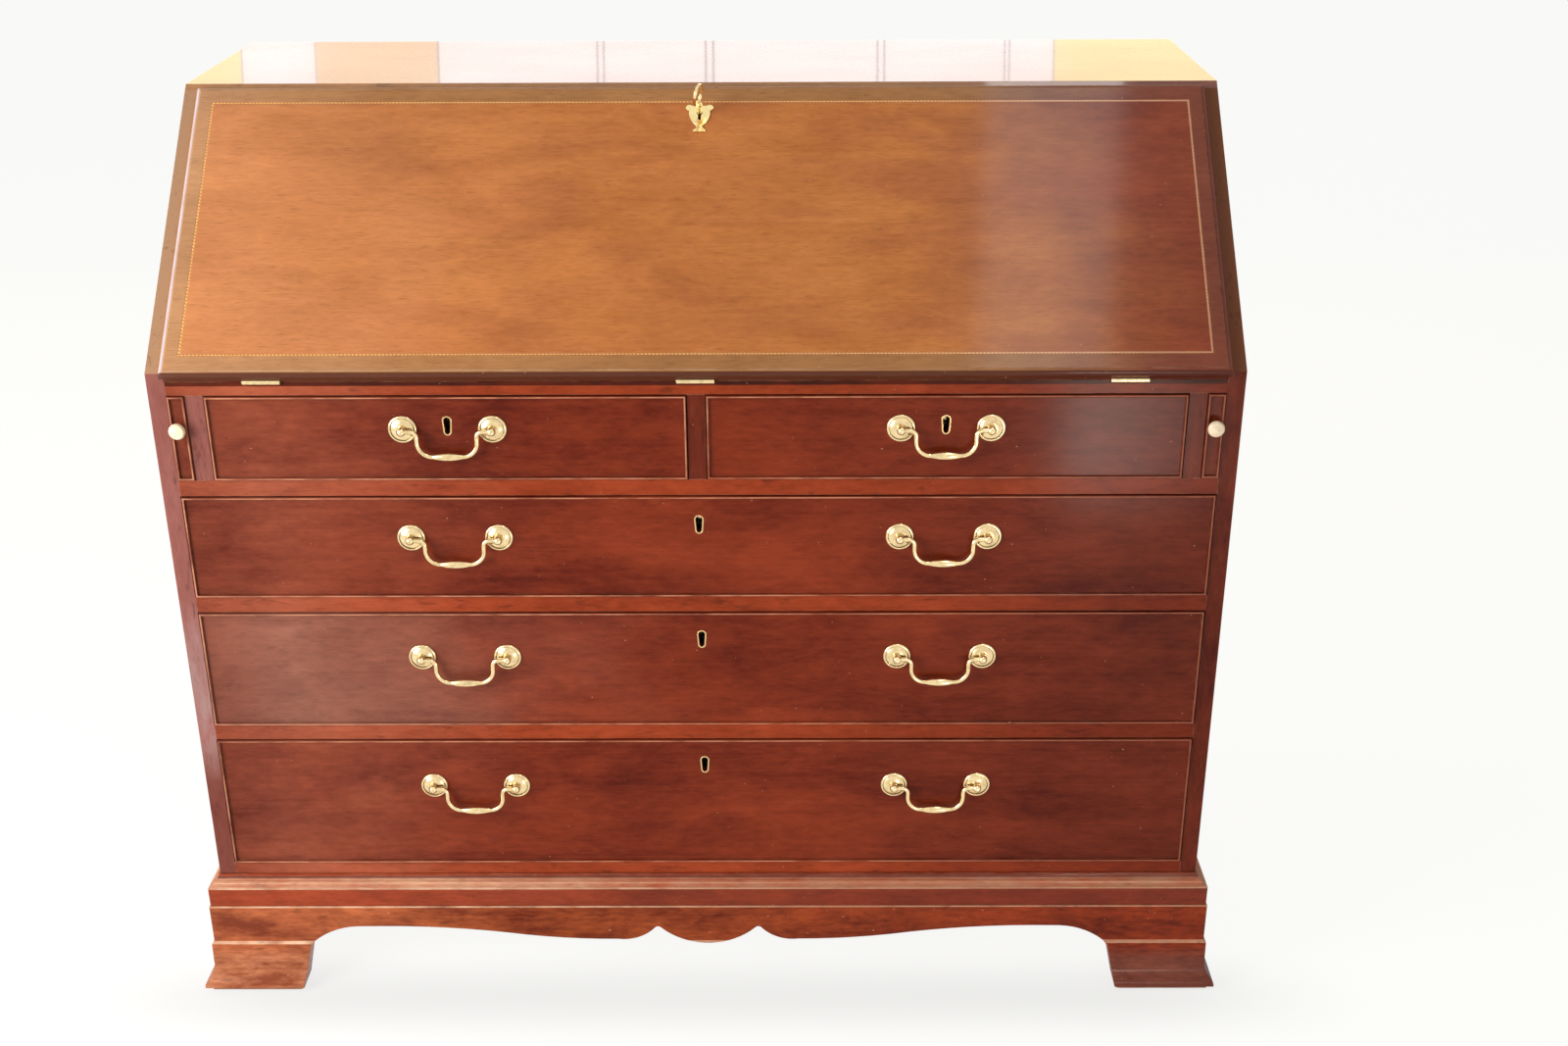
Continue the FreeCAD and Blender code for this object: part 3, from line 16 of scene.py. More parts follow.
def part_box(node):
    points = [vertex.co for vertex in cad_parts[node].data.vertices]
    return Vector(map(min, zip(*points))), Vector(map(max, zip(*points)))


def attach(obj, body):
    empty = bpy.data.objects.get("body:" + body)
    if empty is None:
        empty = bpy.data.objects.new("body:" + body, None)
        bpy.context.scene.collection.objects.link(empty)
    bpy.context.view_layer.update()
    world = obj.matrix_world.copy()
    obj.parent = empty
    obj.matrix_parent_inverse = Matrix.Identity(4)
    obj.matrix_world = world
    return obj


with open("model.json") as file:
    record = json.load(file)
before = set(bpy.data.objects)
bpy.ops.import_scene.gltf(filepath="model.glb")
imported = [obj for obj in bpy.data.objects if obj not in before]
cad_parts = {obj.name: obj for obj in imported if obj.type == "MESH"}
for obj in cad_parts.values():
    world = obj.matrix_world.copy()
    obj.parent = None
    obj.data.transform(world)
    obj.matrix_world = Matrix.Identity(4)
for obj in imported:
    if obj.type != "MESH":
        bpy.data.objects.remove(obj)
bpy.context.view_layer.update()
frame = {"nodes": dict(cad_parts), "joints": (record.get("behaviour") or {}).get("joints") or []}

bl_info = {
    "name": "Slant-front bureau",
    "version": (1, 0, 0),
    "blender": (4, 5, 0),
    "location": "View3D > Sidebar > Bureau",
    "description": "Finishes, metal fixings and a studio for a slant-front bureau",
    "category": "Object",
}

MM = 0.001
DRAWERS = ("short_left_drawer", "short_right_drawer", "upper_long_drawer", "middle_long_drawer",
           "lower_long_drawer")
SMALL_DRAWERS = tuple(f"small_drawer_{count}" for count in range(1, 5))
BAILS = tuple(name for name in frame["nodes"] if name.endswith("_bail"))

# From the frame: the plane of the front, half the case's width and the plane of the pigeonholes' front
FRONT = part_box("front_rails")[0][1]
HALF_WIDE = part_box("right_side")[1][0]
NEST_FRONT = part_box("pigeonhole_boards")[0][1]
# The back has boards side by side, and the figure of each is moved this far from its neighbour's
BACK_BOARDS = 6
BOARD_SHIFT = 830 * MM
# How far the ragged edges stray of the paler and darker stretches, mostly painted light and shade
RAGGED = 300 * MM
KEY_JOINT = next(joint for joint in frame["joints"] if joint["name"] == "key_turn")
KEY_PLACE = Vector(KEY_JOINT["pos_m"])
OUTWARD = Vector(KEY_JOINT["axis"])
UPHILL = Vector((0, OUTWARD.z, -OUTWARD.y))
SLOPE = math.atan2(UPHILL.z, UPHILL.y)
# The lock's keyhole lies this far up the slope from the knee, where the fall's measures start
KEY_UPHILL = 315 * MM
# The raised field of the fall: half its width, and its lower and upper edges up the slope
FIELD_HALF = 558.5 * MM
FIELD_LOW = -0.5 * MM
FIELD_HIGH = 348 * MM
# The rounded end of the fall's lip from the middle, and the level of its inner face from the keyhole
LIP_END = 561.4 * MM
INNER_FACE = -5.4 * MM
# Half a drawer lock's width, and where its screws sit from its sides and from the front's top edge
LOCK_HALF = 28 * MM
LOCK_INSET = 6 * MM
LOCK_DROPS = (10 * MM, 33 * MM)
# Half the length of a hinge of the fall
HINGE_HALF = 20 * MM

# The photograph's view, worked out from the straight edges of the case: metres, degrees and millimetres
CAMERA_PLACE = (0.1004, -2.09195, 1.4195)
CAMERA_PITCH = 23.879
CAMERA_YAW = -0.2396
CAMERA_ROLL = -0.2365
CAMERA_LENS = 42.284
CAMERA_SENSOR = 36.0
# The window panes that the top mirrors: left and right edge in metres and the colour, with thin bars between
PANES = ((-2.4, -1.287, "warm"), (-1.283, -1.1, "pane"), (-1.097, -0.79, "tan"), (-0.785, -0.388, "pane"),
         (-0.383, -0.372, "pane"), (-0.367, -0.115, "pane"), (-0.109, -0.096, "pane"), (-0.09, 0.319, "pane"),
         (0.324, 0.336, "pane"), (0.341, 0.64, "pane"), (0.644, 0.652, "pane"), (0.656, 0.764, "pane"),
         (0.768, 2.4, "warm"))
PANE_LEVEL = 1.6
PANE_HIGH = 1.2
PANE_BACK = 2.6
PANE_AIM = Vector((0, -2.5, -0.6))
# The power of the panes is for this width in metres, and each pane takes its share of it
PANES_WIDE = 4
# A low window fades to the right, so it is strips side by side with these shares of its power
LOW_SHARES = (0.45, 0.3, 0.18, 0.07)
LOW_PLACE = Vector((0.625, -1.5, 0.25))
LOW_AIM = Vector((-0.26, 1.25, 0.47))
LOW_WIDE = 0.07
LOW_HIGH = 0.24
# The other lamps by name: place, target, width and height in metres
LAMPS = {"key": ((-1.65, -1.3, 1.15), (-0.1, -0.2, 0.5), 1.2, 1.2),
         "window": ((-2.9, 0.8, 2.3), (-0.3, 0.0, 0.8), 1.2, 1.6),
         "strip": ((0.62, -0.55, 2.6), (0.62, -0.55, 0.0), 0.27, 1.2)}

# Woods by name: where their figure shows, its pale colour and its dark one
WOODS = {
    "case": ("of the sides and stiles", "#8a3822", "#6a2414"),
    # The left side's front edge: a painted sheen, and darker near the floor
    "stile_hazy": ("of the faded side's front edge", "#945d56", "#804940"),
    "stile_low": ("low on the faded side's front edge", "#7e4439", "#6b352b"),
    "top": ("of the top board", "#a9552c", "#85401f"),
    "rail": ("of the rails and the base moulding", "#a64524", "#7e2e13"),
    # Painted light: the rails paler at the left, painted shade at the right, at both ends and under the fall's
    # lip
    "rail_lit": ("where the rails are faded", "#ac6046", "#874430"),
    "rail_deep": ("where the rails kept their red", "#84321a", "#5f200f"),
    "base": ("of the feet and apron", "#a85228", "#68240f"),
    # Painted light: the base and its flares paler at the left, painted shade at the right
    "base_lit": ("where the base is faded", "#c26c42", "#783620"),
    "base_deep": ("where the base kept its red", "#9a3c1c", "#561b0e"),
    "flare": ("of the faded flares of the feet", "#d48e66", "#8a4428"),
    "flare_shaded": ("of the flares that kept their red", "#824839", "#5a2c24"),
    "drawer": ("of the drawer fronts", "#8a361b", "#561709"),
    # Fronts: painted shade at the right and both ends, painted light at the left, a painted sheen on the middle
    # one
    "drawer_dark_and_shaded": ("where the fronts kept their red", "#742e1a", "#491409"),
    "drawer_lit": ("where the fronts are faded", "#8d4b36", "#652b1d"),
    "drawer_sheen": ("under the hazed polish", "#96614f", "#734639"),
    "fall": ("of the fall", "#d48646", "#ac622d"),
    "fall_warm": ("of the warm patches on the fall", "#c47540", "#9c562a"),
    # A painted sheen at the far left of the fall; at the right a redder hue, partly painted shade
    "fall_sheen": ("where the fall is faded most", "#d48b58", "#b27145"),
    "fall_red_shaded": ("where the fall is less faded", "#a04b2c", "#6a2818"),
    "band": ("of the crossbanding", "#b67f4e", "#936238"),
    # Banding: a painted sheen at the left, and a redder hue with painted shade at the right
    "band_sheen": ("of the faded banding", "#c69267", "#aa7b57"),
    "band_red_shaded": ("of the less faded crossbanding", "#8c4a35", "#6c3121"),
    "inner": ("of the waxed interior", "#b06a42", "#86472a"),
    "oak": ("of the dry oak", "#ba9570", "#8a6344"),
}


def linear(code):
    """Turn an sRGB hex colour into linear red, green and blue with full alpha."""
    parts = np.array([int(code[at:at + 2], 16) for at in (1, 3, 5)]) / 255
    values = np.where(parts <= 0.04045, parts / 12.92, ((parts + 0.055) / 1.055) ** 2.4)
    return (*values.tolist(), 1.0)


def swatch(name, description, code):
    """A colour property with an sRGB hex default."""
    return FloatVectorProperty(name=name, description=description, subtype="COLOR", size=4, min=0, max=1,
                               default=linear(code))


def power(name, description, watts):
    """A lamp's power property with its default in watts."""
    return FloatProperty(name=name, description=description, subtype="POWER", min=0, default=watts)


def length(name, description, millimetres):
    """A length property with its default in millimetres."""
    return FloatProperty(name=name, description=description, unit="LENGTH", min=0, precision=5,
                         default=millimetres * MM)


class BureauColours(bpy.types.PropertyGroup):
    """Colours of the finishes. Each of the woods adds a pale and a dark one."""
    # A painted sheen, paler still, lower on the left side's front edge
    stile_sheen_lower: swatch("Stile, dusty", "Faded side's front edge about the lowest rail", "#a08a86")
    # Painted highlights on the upward-facing coves, dimmer at the right
    cove: swatch("Coves", "Rubbed coves of the base moulding", "#cc9877")
    cove_highlight_dim: swatch("Coves, deep", "Coves of the base where they are rubbed less", "#b07a5c")
    # Painted shade in the quirk above the coves
    quirk: swatch("Quirk", "Old wax in the quirk above the coves", "#7c4a3c")
    # Painted highlights along the arrises of the base and the toes, dimmer at the right
    arris_highlight: swatch("Arris", "Rubbed arrises of the base", "#e4b897")
    arris_highlight_dim: swatch("Arris, deep", "Arrises of the base where they are rubbed less", "#bb8263")
    # Painted light on the sloping front edges: a highlight on the left side, shade on the right
    shoulder_lit: swatch("Shoulders, pale", "Sloping front edge of the faded side", "#a98161")
    shoulder_shaded: swatch("Shoulders, dark", "Sloping front edge of the other side", "#76442a")
    # Painted highlight along the tops of the cockbeads, dimmer at the right
    crest: swatch("Bead crest", "Rubbed crest of the cockbeads", "#be8162")
    crest_highlight_dim: swatch("Bead crest, deep", "Crest of the cockbeads where they are rubbed less", "#8f4d38")
    # Painted highlight round the field, a painted reflection on the lip's left end, painted shade under the fall
    lip_highlight: swatch("Lip line", "Rubbed line round the field of the fall", "#c39a74")
    lip_end_glint: swatch("Lip end", "Bleached end of the lip", "#bdaeb5")
    lip_under: swatch("Lip, underside", "Shaded lower edge of the fall", "#4a1d14")
    worn: swatch("Worn edge", "Bare wood where an edge is rubbed through", "#c9987a")
    # Also painted shade: in corners, under the fall's lip and along the toes
    grime: swatch("Grime", "Old wax and dirt in corners and pores", "#2a120b")
    box_pale: swatch("Boxwood, pale", "Pale beads of the stringing", "#ffc468")
    box_dark: swatch("Boxwood, dark", "Dark beads of the stringing", "#b26e36")
    # Redder stringing at the right, partly painted shade
    box_red_shaded: swatch("Boxwood, red", "Stringing under the polish that kept its red", "#b06c40")
    leather: swatch("Leather", "Dyed leather of the writing surface", "#3c4a2c")
    leather_worn: swatch("Leather, rubbed", "Leather where it is rubbed", "#6a6a45")
    gold: swatch("Gold leaf", "Tooled lines on the leather", "#d6ac55")
    brass: swatch("Brass", "Polished pale brass", "#f6dca8")
    brass_yellow: swatch("Brass, yellow", "Yellow sheet brass of the escutcheon", "#fae3a2")
    brass_dull: swatch("Brass, dull", "Tarnish in the brass's hollows", "#805c2e")
    brass_gold: swatch("Brass, gold", "Golden brass of the keyhole linings", "#ecc68c")
    # Painted shade: black deep in the keyholes and in the deepest hollows of the brass
    brass_shade_black: swatch("Brass, black", "Soot and old wax deep in the keyholes", "#0d0806")
    bone: swatch("Bone", "Polished bone", "#f3dfc0")
    bone_stain: swatch("Bone, stained", "Handled bone", "#c9a86e")
    iron: swatch("Iron", "Old forged nails", "#3a302b")
    rust: swatch("Rust", "Rust on the nails", "#6b4630")
    floor: swatch("Floor", "Pale studio floor", "#fdfdfb")
    low: swatch("Low light", "Light that hazes the fronts at the right", "#fff0e4")
    pane: swatch("Pane", "Light of the middle panes that the top mirrors", "#eadcd8")
    tan: swatch("Tan pane", "Light of the tan pane that the top mirrors", "#d89a10")
    warm: swatch("Warm pane", "Light of the end panes that the top mirrors", "#eec806")


for wood, (where, *codes) in WOODS.items():
    for shade, code in zip(("pale", "dark"), codes):
        BureauColours.__annotations__[f"{wood}_{shade}"] = swatch(
            f"{wood} {shade}".replace("_", " ").capitalize(), f"{shade.capitalize()} figure {where}", code)


class BureauSizes(bpy.types.PropertyGroup):
    """Sizes of the patterns and of the added fixings."""
    figure_long: length("Figure length", "Length of the broad figure along the grain", 190)
    figure_wide: length("Figure width", "Width of the broad figure across the grain", 42)
    mottle_long: length("Mottle length", "Length of the soft mottle along the grain", 46)
    mottle_wide: length("Mottle width", "Width of the soft mottle across the grain", 21)
    stripe_long: length("Stripe length", "Length of the ribbon stripes along the grain", 700)
    stripe_wide: length("Stripe width", "Width of the ribbon stripes", 4.5)
    cloud: length("Cloud size", "Size of the cloudy light and dark", 190)
    speckle_long: length("Speckle length", "Length of the fine figure along the grain", 16)
    speckle_wide: length("Speckle width", "Width of the fine figure across the grain", 5)
    fleck_long: length("Fleck length", "Length of the dark flecks", 30)
    fleck_wide: length("Fleck width", "Width of the dark flecks", 9)
    pore_long: length("Pore length", "Length of the open pores", 16)
    pore_wide: length("Pore width", "Width of the open pores, drawn coarse enough to show", 0.9)
    rub_long: length("Rubbing length", "Length of the rubbed stretches of an edge", 30)
    rub_wide: length("Rubbing width", "Width of the rubbed stretches of an edge", 6)
    patch_long: length("Patch length", "Length of the warm patches on the fall", 210)
    patch_wide: length("Patch width", "Width of the warm patches on the fall", 70)
    mark: length("Mark size", "Size of the dents and spots", 5)
    edge: length("Edge wear", "How far in an edge is rubbed", 1.1)
    # The corners darken with soiling and painted shade
    corner: length("Corner grime", "How far grime reaches from a corner", 2.5)
    bead_step: length("Stringing step", "One pale and one dark bead of the stringing", 4)
    screw: length("Screw head", "Radius of a screw head", 2.6)
    pin: length("Pin head", "Radius of an escutcheon pin's head", 0.9)
    nail: length("Nail head", "Radius of a nail head in the back boards", 3.2)


class BureauStudio(bpy.types.PropertyGroup):
    """Light of the studio."""
    sky: FloatProperty(name="Sky", description="Strength of the even light all round", min=0, default=0.32)
    key: power("Key light", "Power of the large light at the left", 44)
    window: power("Window light", "Power of the light behind the left side", 25)
    strip: power("Strip light", "Power of the narrow light overhead", 6)
    low: power("Low light", "Power of the light that hazes the fronts at the right", 3.5)
    rear: power("Rear light", "Power of the light that the top mirrors", 17)


# What a mix of two colours sets on its node, and the output that it gives
BLEND = {"data_type": "RGBA", "out": 2}


def add(tree, kind, inputs=None, out=0, **settings):
    """Add a shader node with its settings, link or set its inputs, and give one of its outputs."""
    node = tree.nodes.new(f"ShaderNode{kind}")
    for name, value in settings.items():
        setattr(node, name, value)
    for name, value in (inputs or {}).items():
        if isinstance(value, bpy.types.NodeSocket):
            tree.links.new(value, node.inputs[name])
        else:
            node.inputs[name].default_value = value
    return node.outputs[out] if node.outputs else node


def fresh(name):
    """A new material with an empty node tree."""
    material = bpy.data.materials.new(name)
    material.use_nodes = True
    material.node_tree.nodes.clear()
    return material, material.node_tree


def finish(names, material):
    """Give CAD nodes one material."""
    for name in names:
        slots = frame["nodes"][name].data.materials
        slots.clear()
        slots.append(material)


def upright(tree):
    """Places as they are in the frame."""
    return add(tree, "TexCoord", out="Object")


def sloping(tree):
    """Places on the fall: X across, Y up the slope from the knee, Z outwards from the lock's keyhole."""
    turned = Matrix.Rotation(-SLOPE, 3, "X") @ KEY_PLACE
    shift = Vector((0, KEY_UPHILL, 0)) - turned
    return add(tree, "Mapping", {"Vector": upright(tree), "Location": shift, "Rotation": (-SLOPE, 0, 0)})


def swapped(tree, chosen):
    """Places whose X and Y change over where the chosen factor is one, so that the grain turns with them."""
    place = upright(tree)
    axes = add(tree, "SeparateXYZ", {0: place}).node.outputs
    turned = add(tree, "CombineXYZ", {"X": axes["Y"], "Y": axes["X"], "Z": axes["Z"]})
    return add(tree, "Mix", {0: chosen(tree, axes), 4: place, 5: turned}, out=1, data_type="VECTOR")


def mitred(tree):
    """Places on the base: the grain runs across the front and turns back along the sides at the mitre."""
    def on_side(tree, axes):
        reach = add(tree, "Math", {0: axes["X"]}, operation="ABSOLUTE")
        mitre = add(tree, "Math", {0: reach, 1: axes["Y"]}, operation="ADD")
        return add(tree, "Math", {0: mitre, 1: HALF_WIDE + FRONT}, operation="GREATER_THAN")
    return swapped(tree, on_side)


def lengthwise(tree):
    """Places on drawer linings and lopers: the grain runs from front to back."""
    return swapped(tree, lambda tree, axes: 1.0)


def boarded(tree):
    """Places on the back: each board's figure is moved along it, so that it breaks at the joints."""
    low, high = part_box("back_boards")
    axes = add(tree, "SeparateXYZ", {0: upright(tree)}).node.outputs
    past = add(tree, "Math", {0: axes["X"], 1: low.x}, operation="SUBTRACT")
    count = add(tree, "Math", {0: past, 1: (high.x - low.x) / BACK_BOARDS}, operation="DIVIDE")
    board = add(tree, "Math", {0: count}, operation="FLOOR")
    moved = add(tree, "Math", {0: board, 1: BOARD_SHIFT, 2: axes["Z"]}, operation="MULTIPLY_ADD")
    return add(tree, "CombineXYZ", {"X": axes["X"], "Y": axes["Y"], "Z": moved})


def timber(name, shades, run, place, coat=0.11, rough=0.36, wear=1.0, contrast=1.15, gloss=0.05, dirt=0.75,
           flecked=0.4, broad=1.0):
    """A wood, polished, waxed or bare. Shades are (pale, dark, mask), the first over all, the last on top.

    Tone = broad figure + mottle + ribbon stripe + cloud + speckle, each a noise stretched along the grain;
    flecks, pores and marks darken it, corners darken with soiling and painted shade, and edges and small chips
    are rubbed pale. Coat is the share of clear polish, gloss is the roughness of that polish, and broad widens
    the figure.
    """
    colours = bpy.context.scene.bureau_colours
    sizes = bpy.context.scene.bureau_sizes
    material, tree = fresh(name)
    spot = place(tree)

    def stretched(along, across, detail, twist=0.0):
        scale = [1 / across] * 3
        scale["XYZ".index(run)] = 1 / along
        where = add(tree, "Mapping", {"Vector": spot, "Scale": scale})
        return add(tree, "TexNoise", {"Vector": where, "Scale": 1.0, "Detail": detail, "Roughness": 0.6,
                                      "Distortion": twist})

    cloud = stretched(sizes.cloud * 1.6, sizes.cloud, 2)
    patterns = ((stretched(sizes.figure_long * broad, sizes.figure_wide * broad, 4, 0.8), 0.36),
                (stretched(sizes.mottle_long * broad, sizes.mottle_wide * broad, 3, 0.6), 0.24),
                (stretched(sizes.stripe_long, sizes.stripe_wide, 3), 0.1),
                (stretched(sizes.speckle_long, sizes.speckle_wide, 4), 0.2), (cloud, 0.24))
    tone = 0.0
    for pattern, share in patterns:
        tone = add(tree, "Math", {0: pattern, 1: share, 2: tone}, operation="MULTIPLY_ADD")
    middle = sum(share for pattern, share in patterns) / 2
    spread = 0.14 / contrast
    tone = add(tree, "MapRange", {"Value": tone, "From Min": middle - spread, "From Max": middle + spread})
    colour = None
    for pale, dark, mask in shades:
        shade = add(tree, "Mix", {0: tone, 6: dark, 7: pale}, **BLEND)
        if colour is not None:
            shade = add(tree, "Mix", {0: mask(tree), 6: colour, 7: shade}, **BLEND)
        colour = shade

    # Corners darken where the AO node finds shelter: soiling and painted shade
    shelter = add(tree, "AmbientOcclusion", {"Distance": sizes.corner}, out="AO", samples=4)
    soft = add(tree, "Bevel", {"Radius": sizes.edge}, samples=4)
    flat = add(tree, "NewGeometry", out="Normal")
    even = add(tree, "VectorMath", {0: soft, 1: flat}, out="Value", operation="DOT_PRODUCT")
    # Each layer is a pattern, the values where it starts and is full, and how strong it is there
    layers = {"flecks": (stretched(sizes.fleck_long, sizes.fleck_wide, 2, 0.4), 0.6, 0.74, flecked),
              "pores": (stretched(sizes.pore_long, sizes.pore_wide, 2), 0.56, 0.74, 0.35),
              "spots": (stretched(sizes.mark * 1.4, sizes.mark, 1), 0.78, 0.84, 0.4),
              "chips": (stretched(sizes.mark * 0.8, sizes.mark * 0.5, 0), 0.85, 0.88, 0.5),
              "rubbing": (stretched(sizes.rub_long, sizes.rub_wide, 3), 0.4, 0.62, 0.8 * wear),
              "edge": (even, 0.985, 0.88, 1.0), "corners": (shelter, 0.7, 0.15, dirt)}
    shown = {}
    for layer, (pattern, start, full, most) in layers.items():
        shown[layer] = add(tree, "MapRange", {"Value": pattern, "From Min": start, "From Max": full,
                                              "To Max": most})
    shown["worn"] = add(tree, "Math", {0: shown["edge"], 1: shown["rubbing"]}, operation="MULTIPLY")
    for layer, stain in (("flecks", colours.grime), ("pores", colours.grime), ("spots", colours.grime),
                         ("chips", colours.worn), ("worn", colours.worn), ("corners", colours.grime)):
        colour = add(tree, "Mix", {0: shown[layer], 6: colour, 7: stain}, **BLEND)

    dull = add(tree, "MapRange", {"Value": cloud, "From Min": 0.35, "From Max": 0.65, "To Min": rough - 0.05,
                                  "To Max": rough + 0.07})
    dull = add(tree, "Math", {0: shown["pores"], 1: 0.3, 2: dull}, operation="MULTIPLY_ADD")
    relief = add(tree, "Bump", {"Strength": 0.25, "Distance": 0.2 * MM, "Height": shown["pores"],
                                "Normal": soft}, invert=True)
    skin = add(tree, "BsdfPrincipled", {"Base Color": colour, "Roughness": dull, "Normal": relief,
                                        "Coat Normal": soft, "Coat Weight": coat, "Coat Roughness": gloss,
                                        "Specular IOR Level": 0.05})
    add(tree, "OutputMaterial", {"Surface": skin})
    return material


def figure(wood, mask=None):
    """The pale and dark colours of a wood, and the mask that shows it."""
    colours = bpy.context.scene.bureau_colours
    return getattr(colours, f"{wood}_pale"), getattr(colours, f"{wood}_dark"), mask


def below(axis, limit, place=upright):
    """A mask that is one where a coordinate is less than a limit."""
    def mask(tree):
        along = add(tree, "SeparateXYZ", {0: place(tree)}, out=axis)
        return add(tree, "Math", {0: along, 1: limit}, operation="LESS_THAN")
    return mask


def near(axis, middle, reach, place=upright):
    """A mask that is one where a coordinate lies within reach of a middle value."""
    def mask(tree):
        along = add(tree, "SeparateXYZ", {0: place(tree)}, out=axis)
        return add(tree, "Math", {0: along, 1: middle, 2: reach}, operation="COMPARE")
    return mask


def between(low, high):
    """A mask that is one between two levels."""
    return near("Z", (low + high) / 2, (high - low) / 2)


def ramp(axis, start, full, most=1.0, place=upright):
    """A mask that grows with a coordinate, from none at the start to its most where it is full."""
    def mask(tree):
        along = add(tree, "SeparateXYZ", {0: place(tree)}, out=axis)
        return add(tree, "MapRange", {"Value": along, "From Min": start, "From Max": full, "To Max": most})
    return mask


def both(first, second):
    """A mask where two others meet."""
    def mask(tree):
        return add(tree, "Math", {0: first(tree), 1: second(tree)}, operation="MULTIPLY")
    return mask


def board_joints(tree):
    """A mask on the dark joints between the back boards, from the distance to the nearest joint."""
    low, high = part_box("back_boards")
    wide = (high.x - low.x) / BACK_BOARDS
    across = add(tree, "SeparateXYZ", {0: upright(tree)}, out="X")
    past = add(tree, "Math", {0: across, 1: low.x}, operation="SUBTRACT")
    away = add(tree, "Math", {0: past, 1: wide / 2}, operation="PINGPONG")
    return add(tree, "MapRange", {"Value": away, "From Min": 1.4 * MM, "From Max": 0.7 * MM, "To Max": 0.85})


def patches(tree):
    """A mask of soft patches along the grain, where the figure turns to another hue."""
    sizes = bpy.context.scene.bureau_sizes
    scale = (1 / sizes.patch_long, 1 / sizes.patch_wide, 1 / sizes.patch_wide)
    where = add(tree, "Mapping", {"Vector": sloping(tree), "Scale": scale})
    soft = add(tree, "TexNoise", {"Vector": where, "Scale": 1.0, "Detail": 3, "Distortion": 0.5})
    return add(tree, "MapRange", {"Value": soft, "From Min": 0.42, "From Max": 0.64})


def broken(least):
    """A mask from the least to one that comes and goes along a rubbed line."""
    def mask(tree):
        gaps = add(tree, "TexNoise", {"Vector": upright(tree), "Scale": 1 / (30 * MM), "Detail": 3})
        return add(tree, "MapRange", {"Value": gaps, "From Min": 0.36, "From Max": 0.6, "To Min": least})
    return mask


def broken_level_lines(*spans):
    """A mask on narrow level lines along the base, broken along their length, for painted highlights and shade.
    """
    def mask(tree):
        shown = 0.0
        for low, high in spans:
            shown = add(tree, "Math", {0: between(low, high)(tree), 1: shown}, operation="MAXIMUM")
        return shown
    return both(mask, broken(0.35))


def shoulder(tree):
    """A mask on the sloping front edges of the sides and top, which face the same way as the fall."""
    normal = add(tree, "NewGeometry", out="Normal")
    turned = add(tree, "VectorMath", {0: normal, 1: OUTWARD}, out="Value", operation="DOT_PRODUCT")
    return add(tree, "Math", {0: turned, 1: 0.9}, operation="GREATER_THAN")


# Most of these sweeps paint light: paler at the lit left, darker with painted shade towards the right
def ragged_sweep(none, full):
    """A mask that grows across the front with a ragged edge, from none at one X to full at another."""
    def mask(tree):
        spot = upright(tree)
        across = add(tree, "SeparateXYZ", {0: spot}, out="X")
        ragged = add(tree, "TexNoise", {"Vector": spot, "Scale": 1 / (140 * MM), "Detail": 2})
        shifted = add(tree, "Math", {0: ragged, 1: RAGGED, 2: across}, operation="MULTIPLY_ADD")
        return add(tree, "MapRange", {"Value": shifted, "From Min": none + RAGGED / 2,
                                      "From Max": full + RAGGED / 2}, interpolation_type="SMOOTHSTEP")
    return mask


def ends(tree):
    """A mask that grows towards both ends of the front, for painted shade there."""
    across = add(tree, "SeparateXYZ", {0: upright(tree)}, out="X")
    reach = add(tree, "Math", {0: across}, operation="ABSOLUTE")
    return add(tree, "MapRange", {"Value": reach, "From Min": HALF_WIDE - 120 * MM,
                                  "From Max": HALF_WIDE - 20 * MM, "To Max": 0.6})


def outside(tree, half, low, high):
    """How far a place lies outside a rectangle on the fall: most of |x| - half, low - y and y - high."""
    axes = add(tree, "SeparateXYZ", {0: sloping(tree)}).node.outputs
    wide = add(tree, "Math", {0: axes["X"]}, operation="ABSOLUTE")
    over = add(tree, "Math", {0: wide, 1: half}, operation="SUBTRACT")
    for first, second in ((low, axes["Y"]), (axes["Y"], high)):
        past = add(tree, "Math", {0: first, 1: second}, operation="SUBTRACT")
        over = add(tree, "Math", {0: over, 1: past}, operation="MAXIMUM")
    return over


def past_edge(tree, low, high):
    """How far a place lies outside the edge of a flat piece let into the fall, from its box's corners."""
    lowest, highest = ((corner.yz - KEY_PLACE.yz).dot(UPHILL.yz) + KEY_UPHILL for corner in (low, high))
    return outside(tree, high.x, lowest, highest)


def banding(tree):
    """A mask that is one between the stringing and the edge of the fall, where the banding lies."""
    past = past_edge(tree, *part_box("fall_stringing"))
    return add(tree, "Math", {0: past, 1: 0.0}, operation="GREATER_THAN")


def field_line(tree):
    """A mask on the narrow line where the field of the fall steps down to its lip."""
    over = outside(tree, FIELD_HALF, FIELD_LOW, FIELD_HIGH)
    return add(tree, "Math", {0: over, 1: 0.6 * MM, 2: 0.7 * MM}, operation="COMPARE")


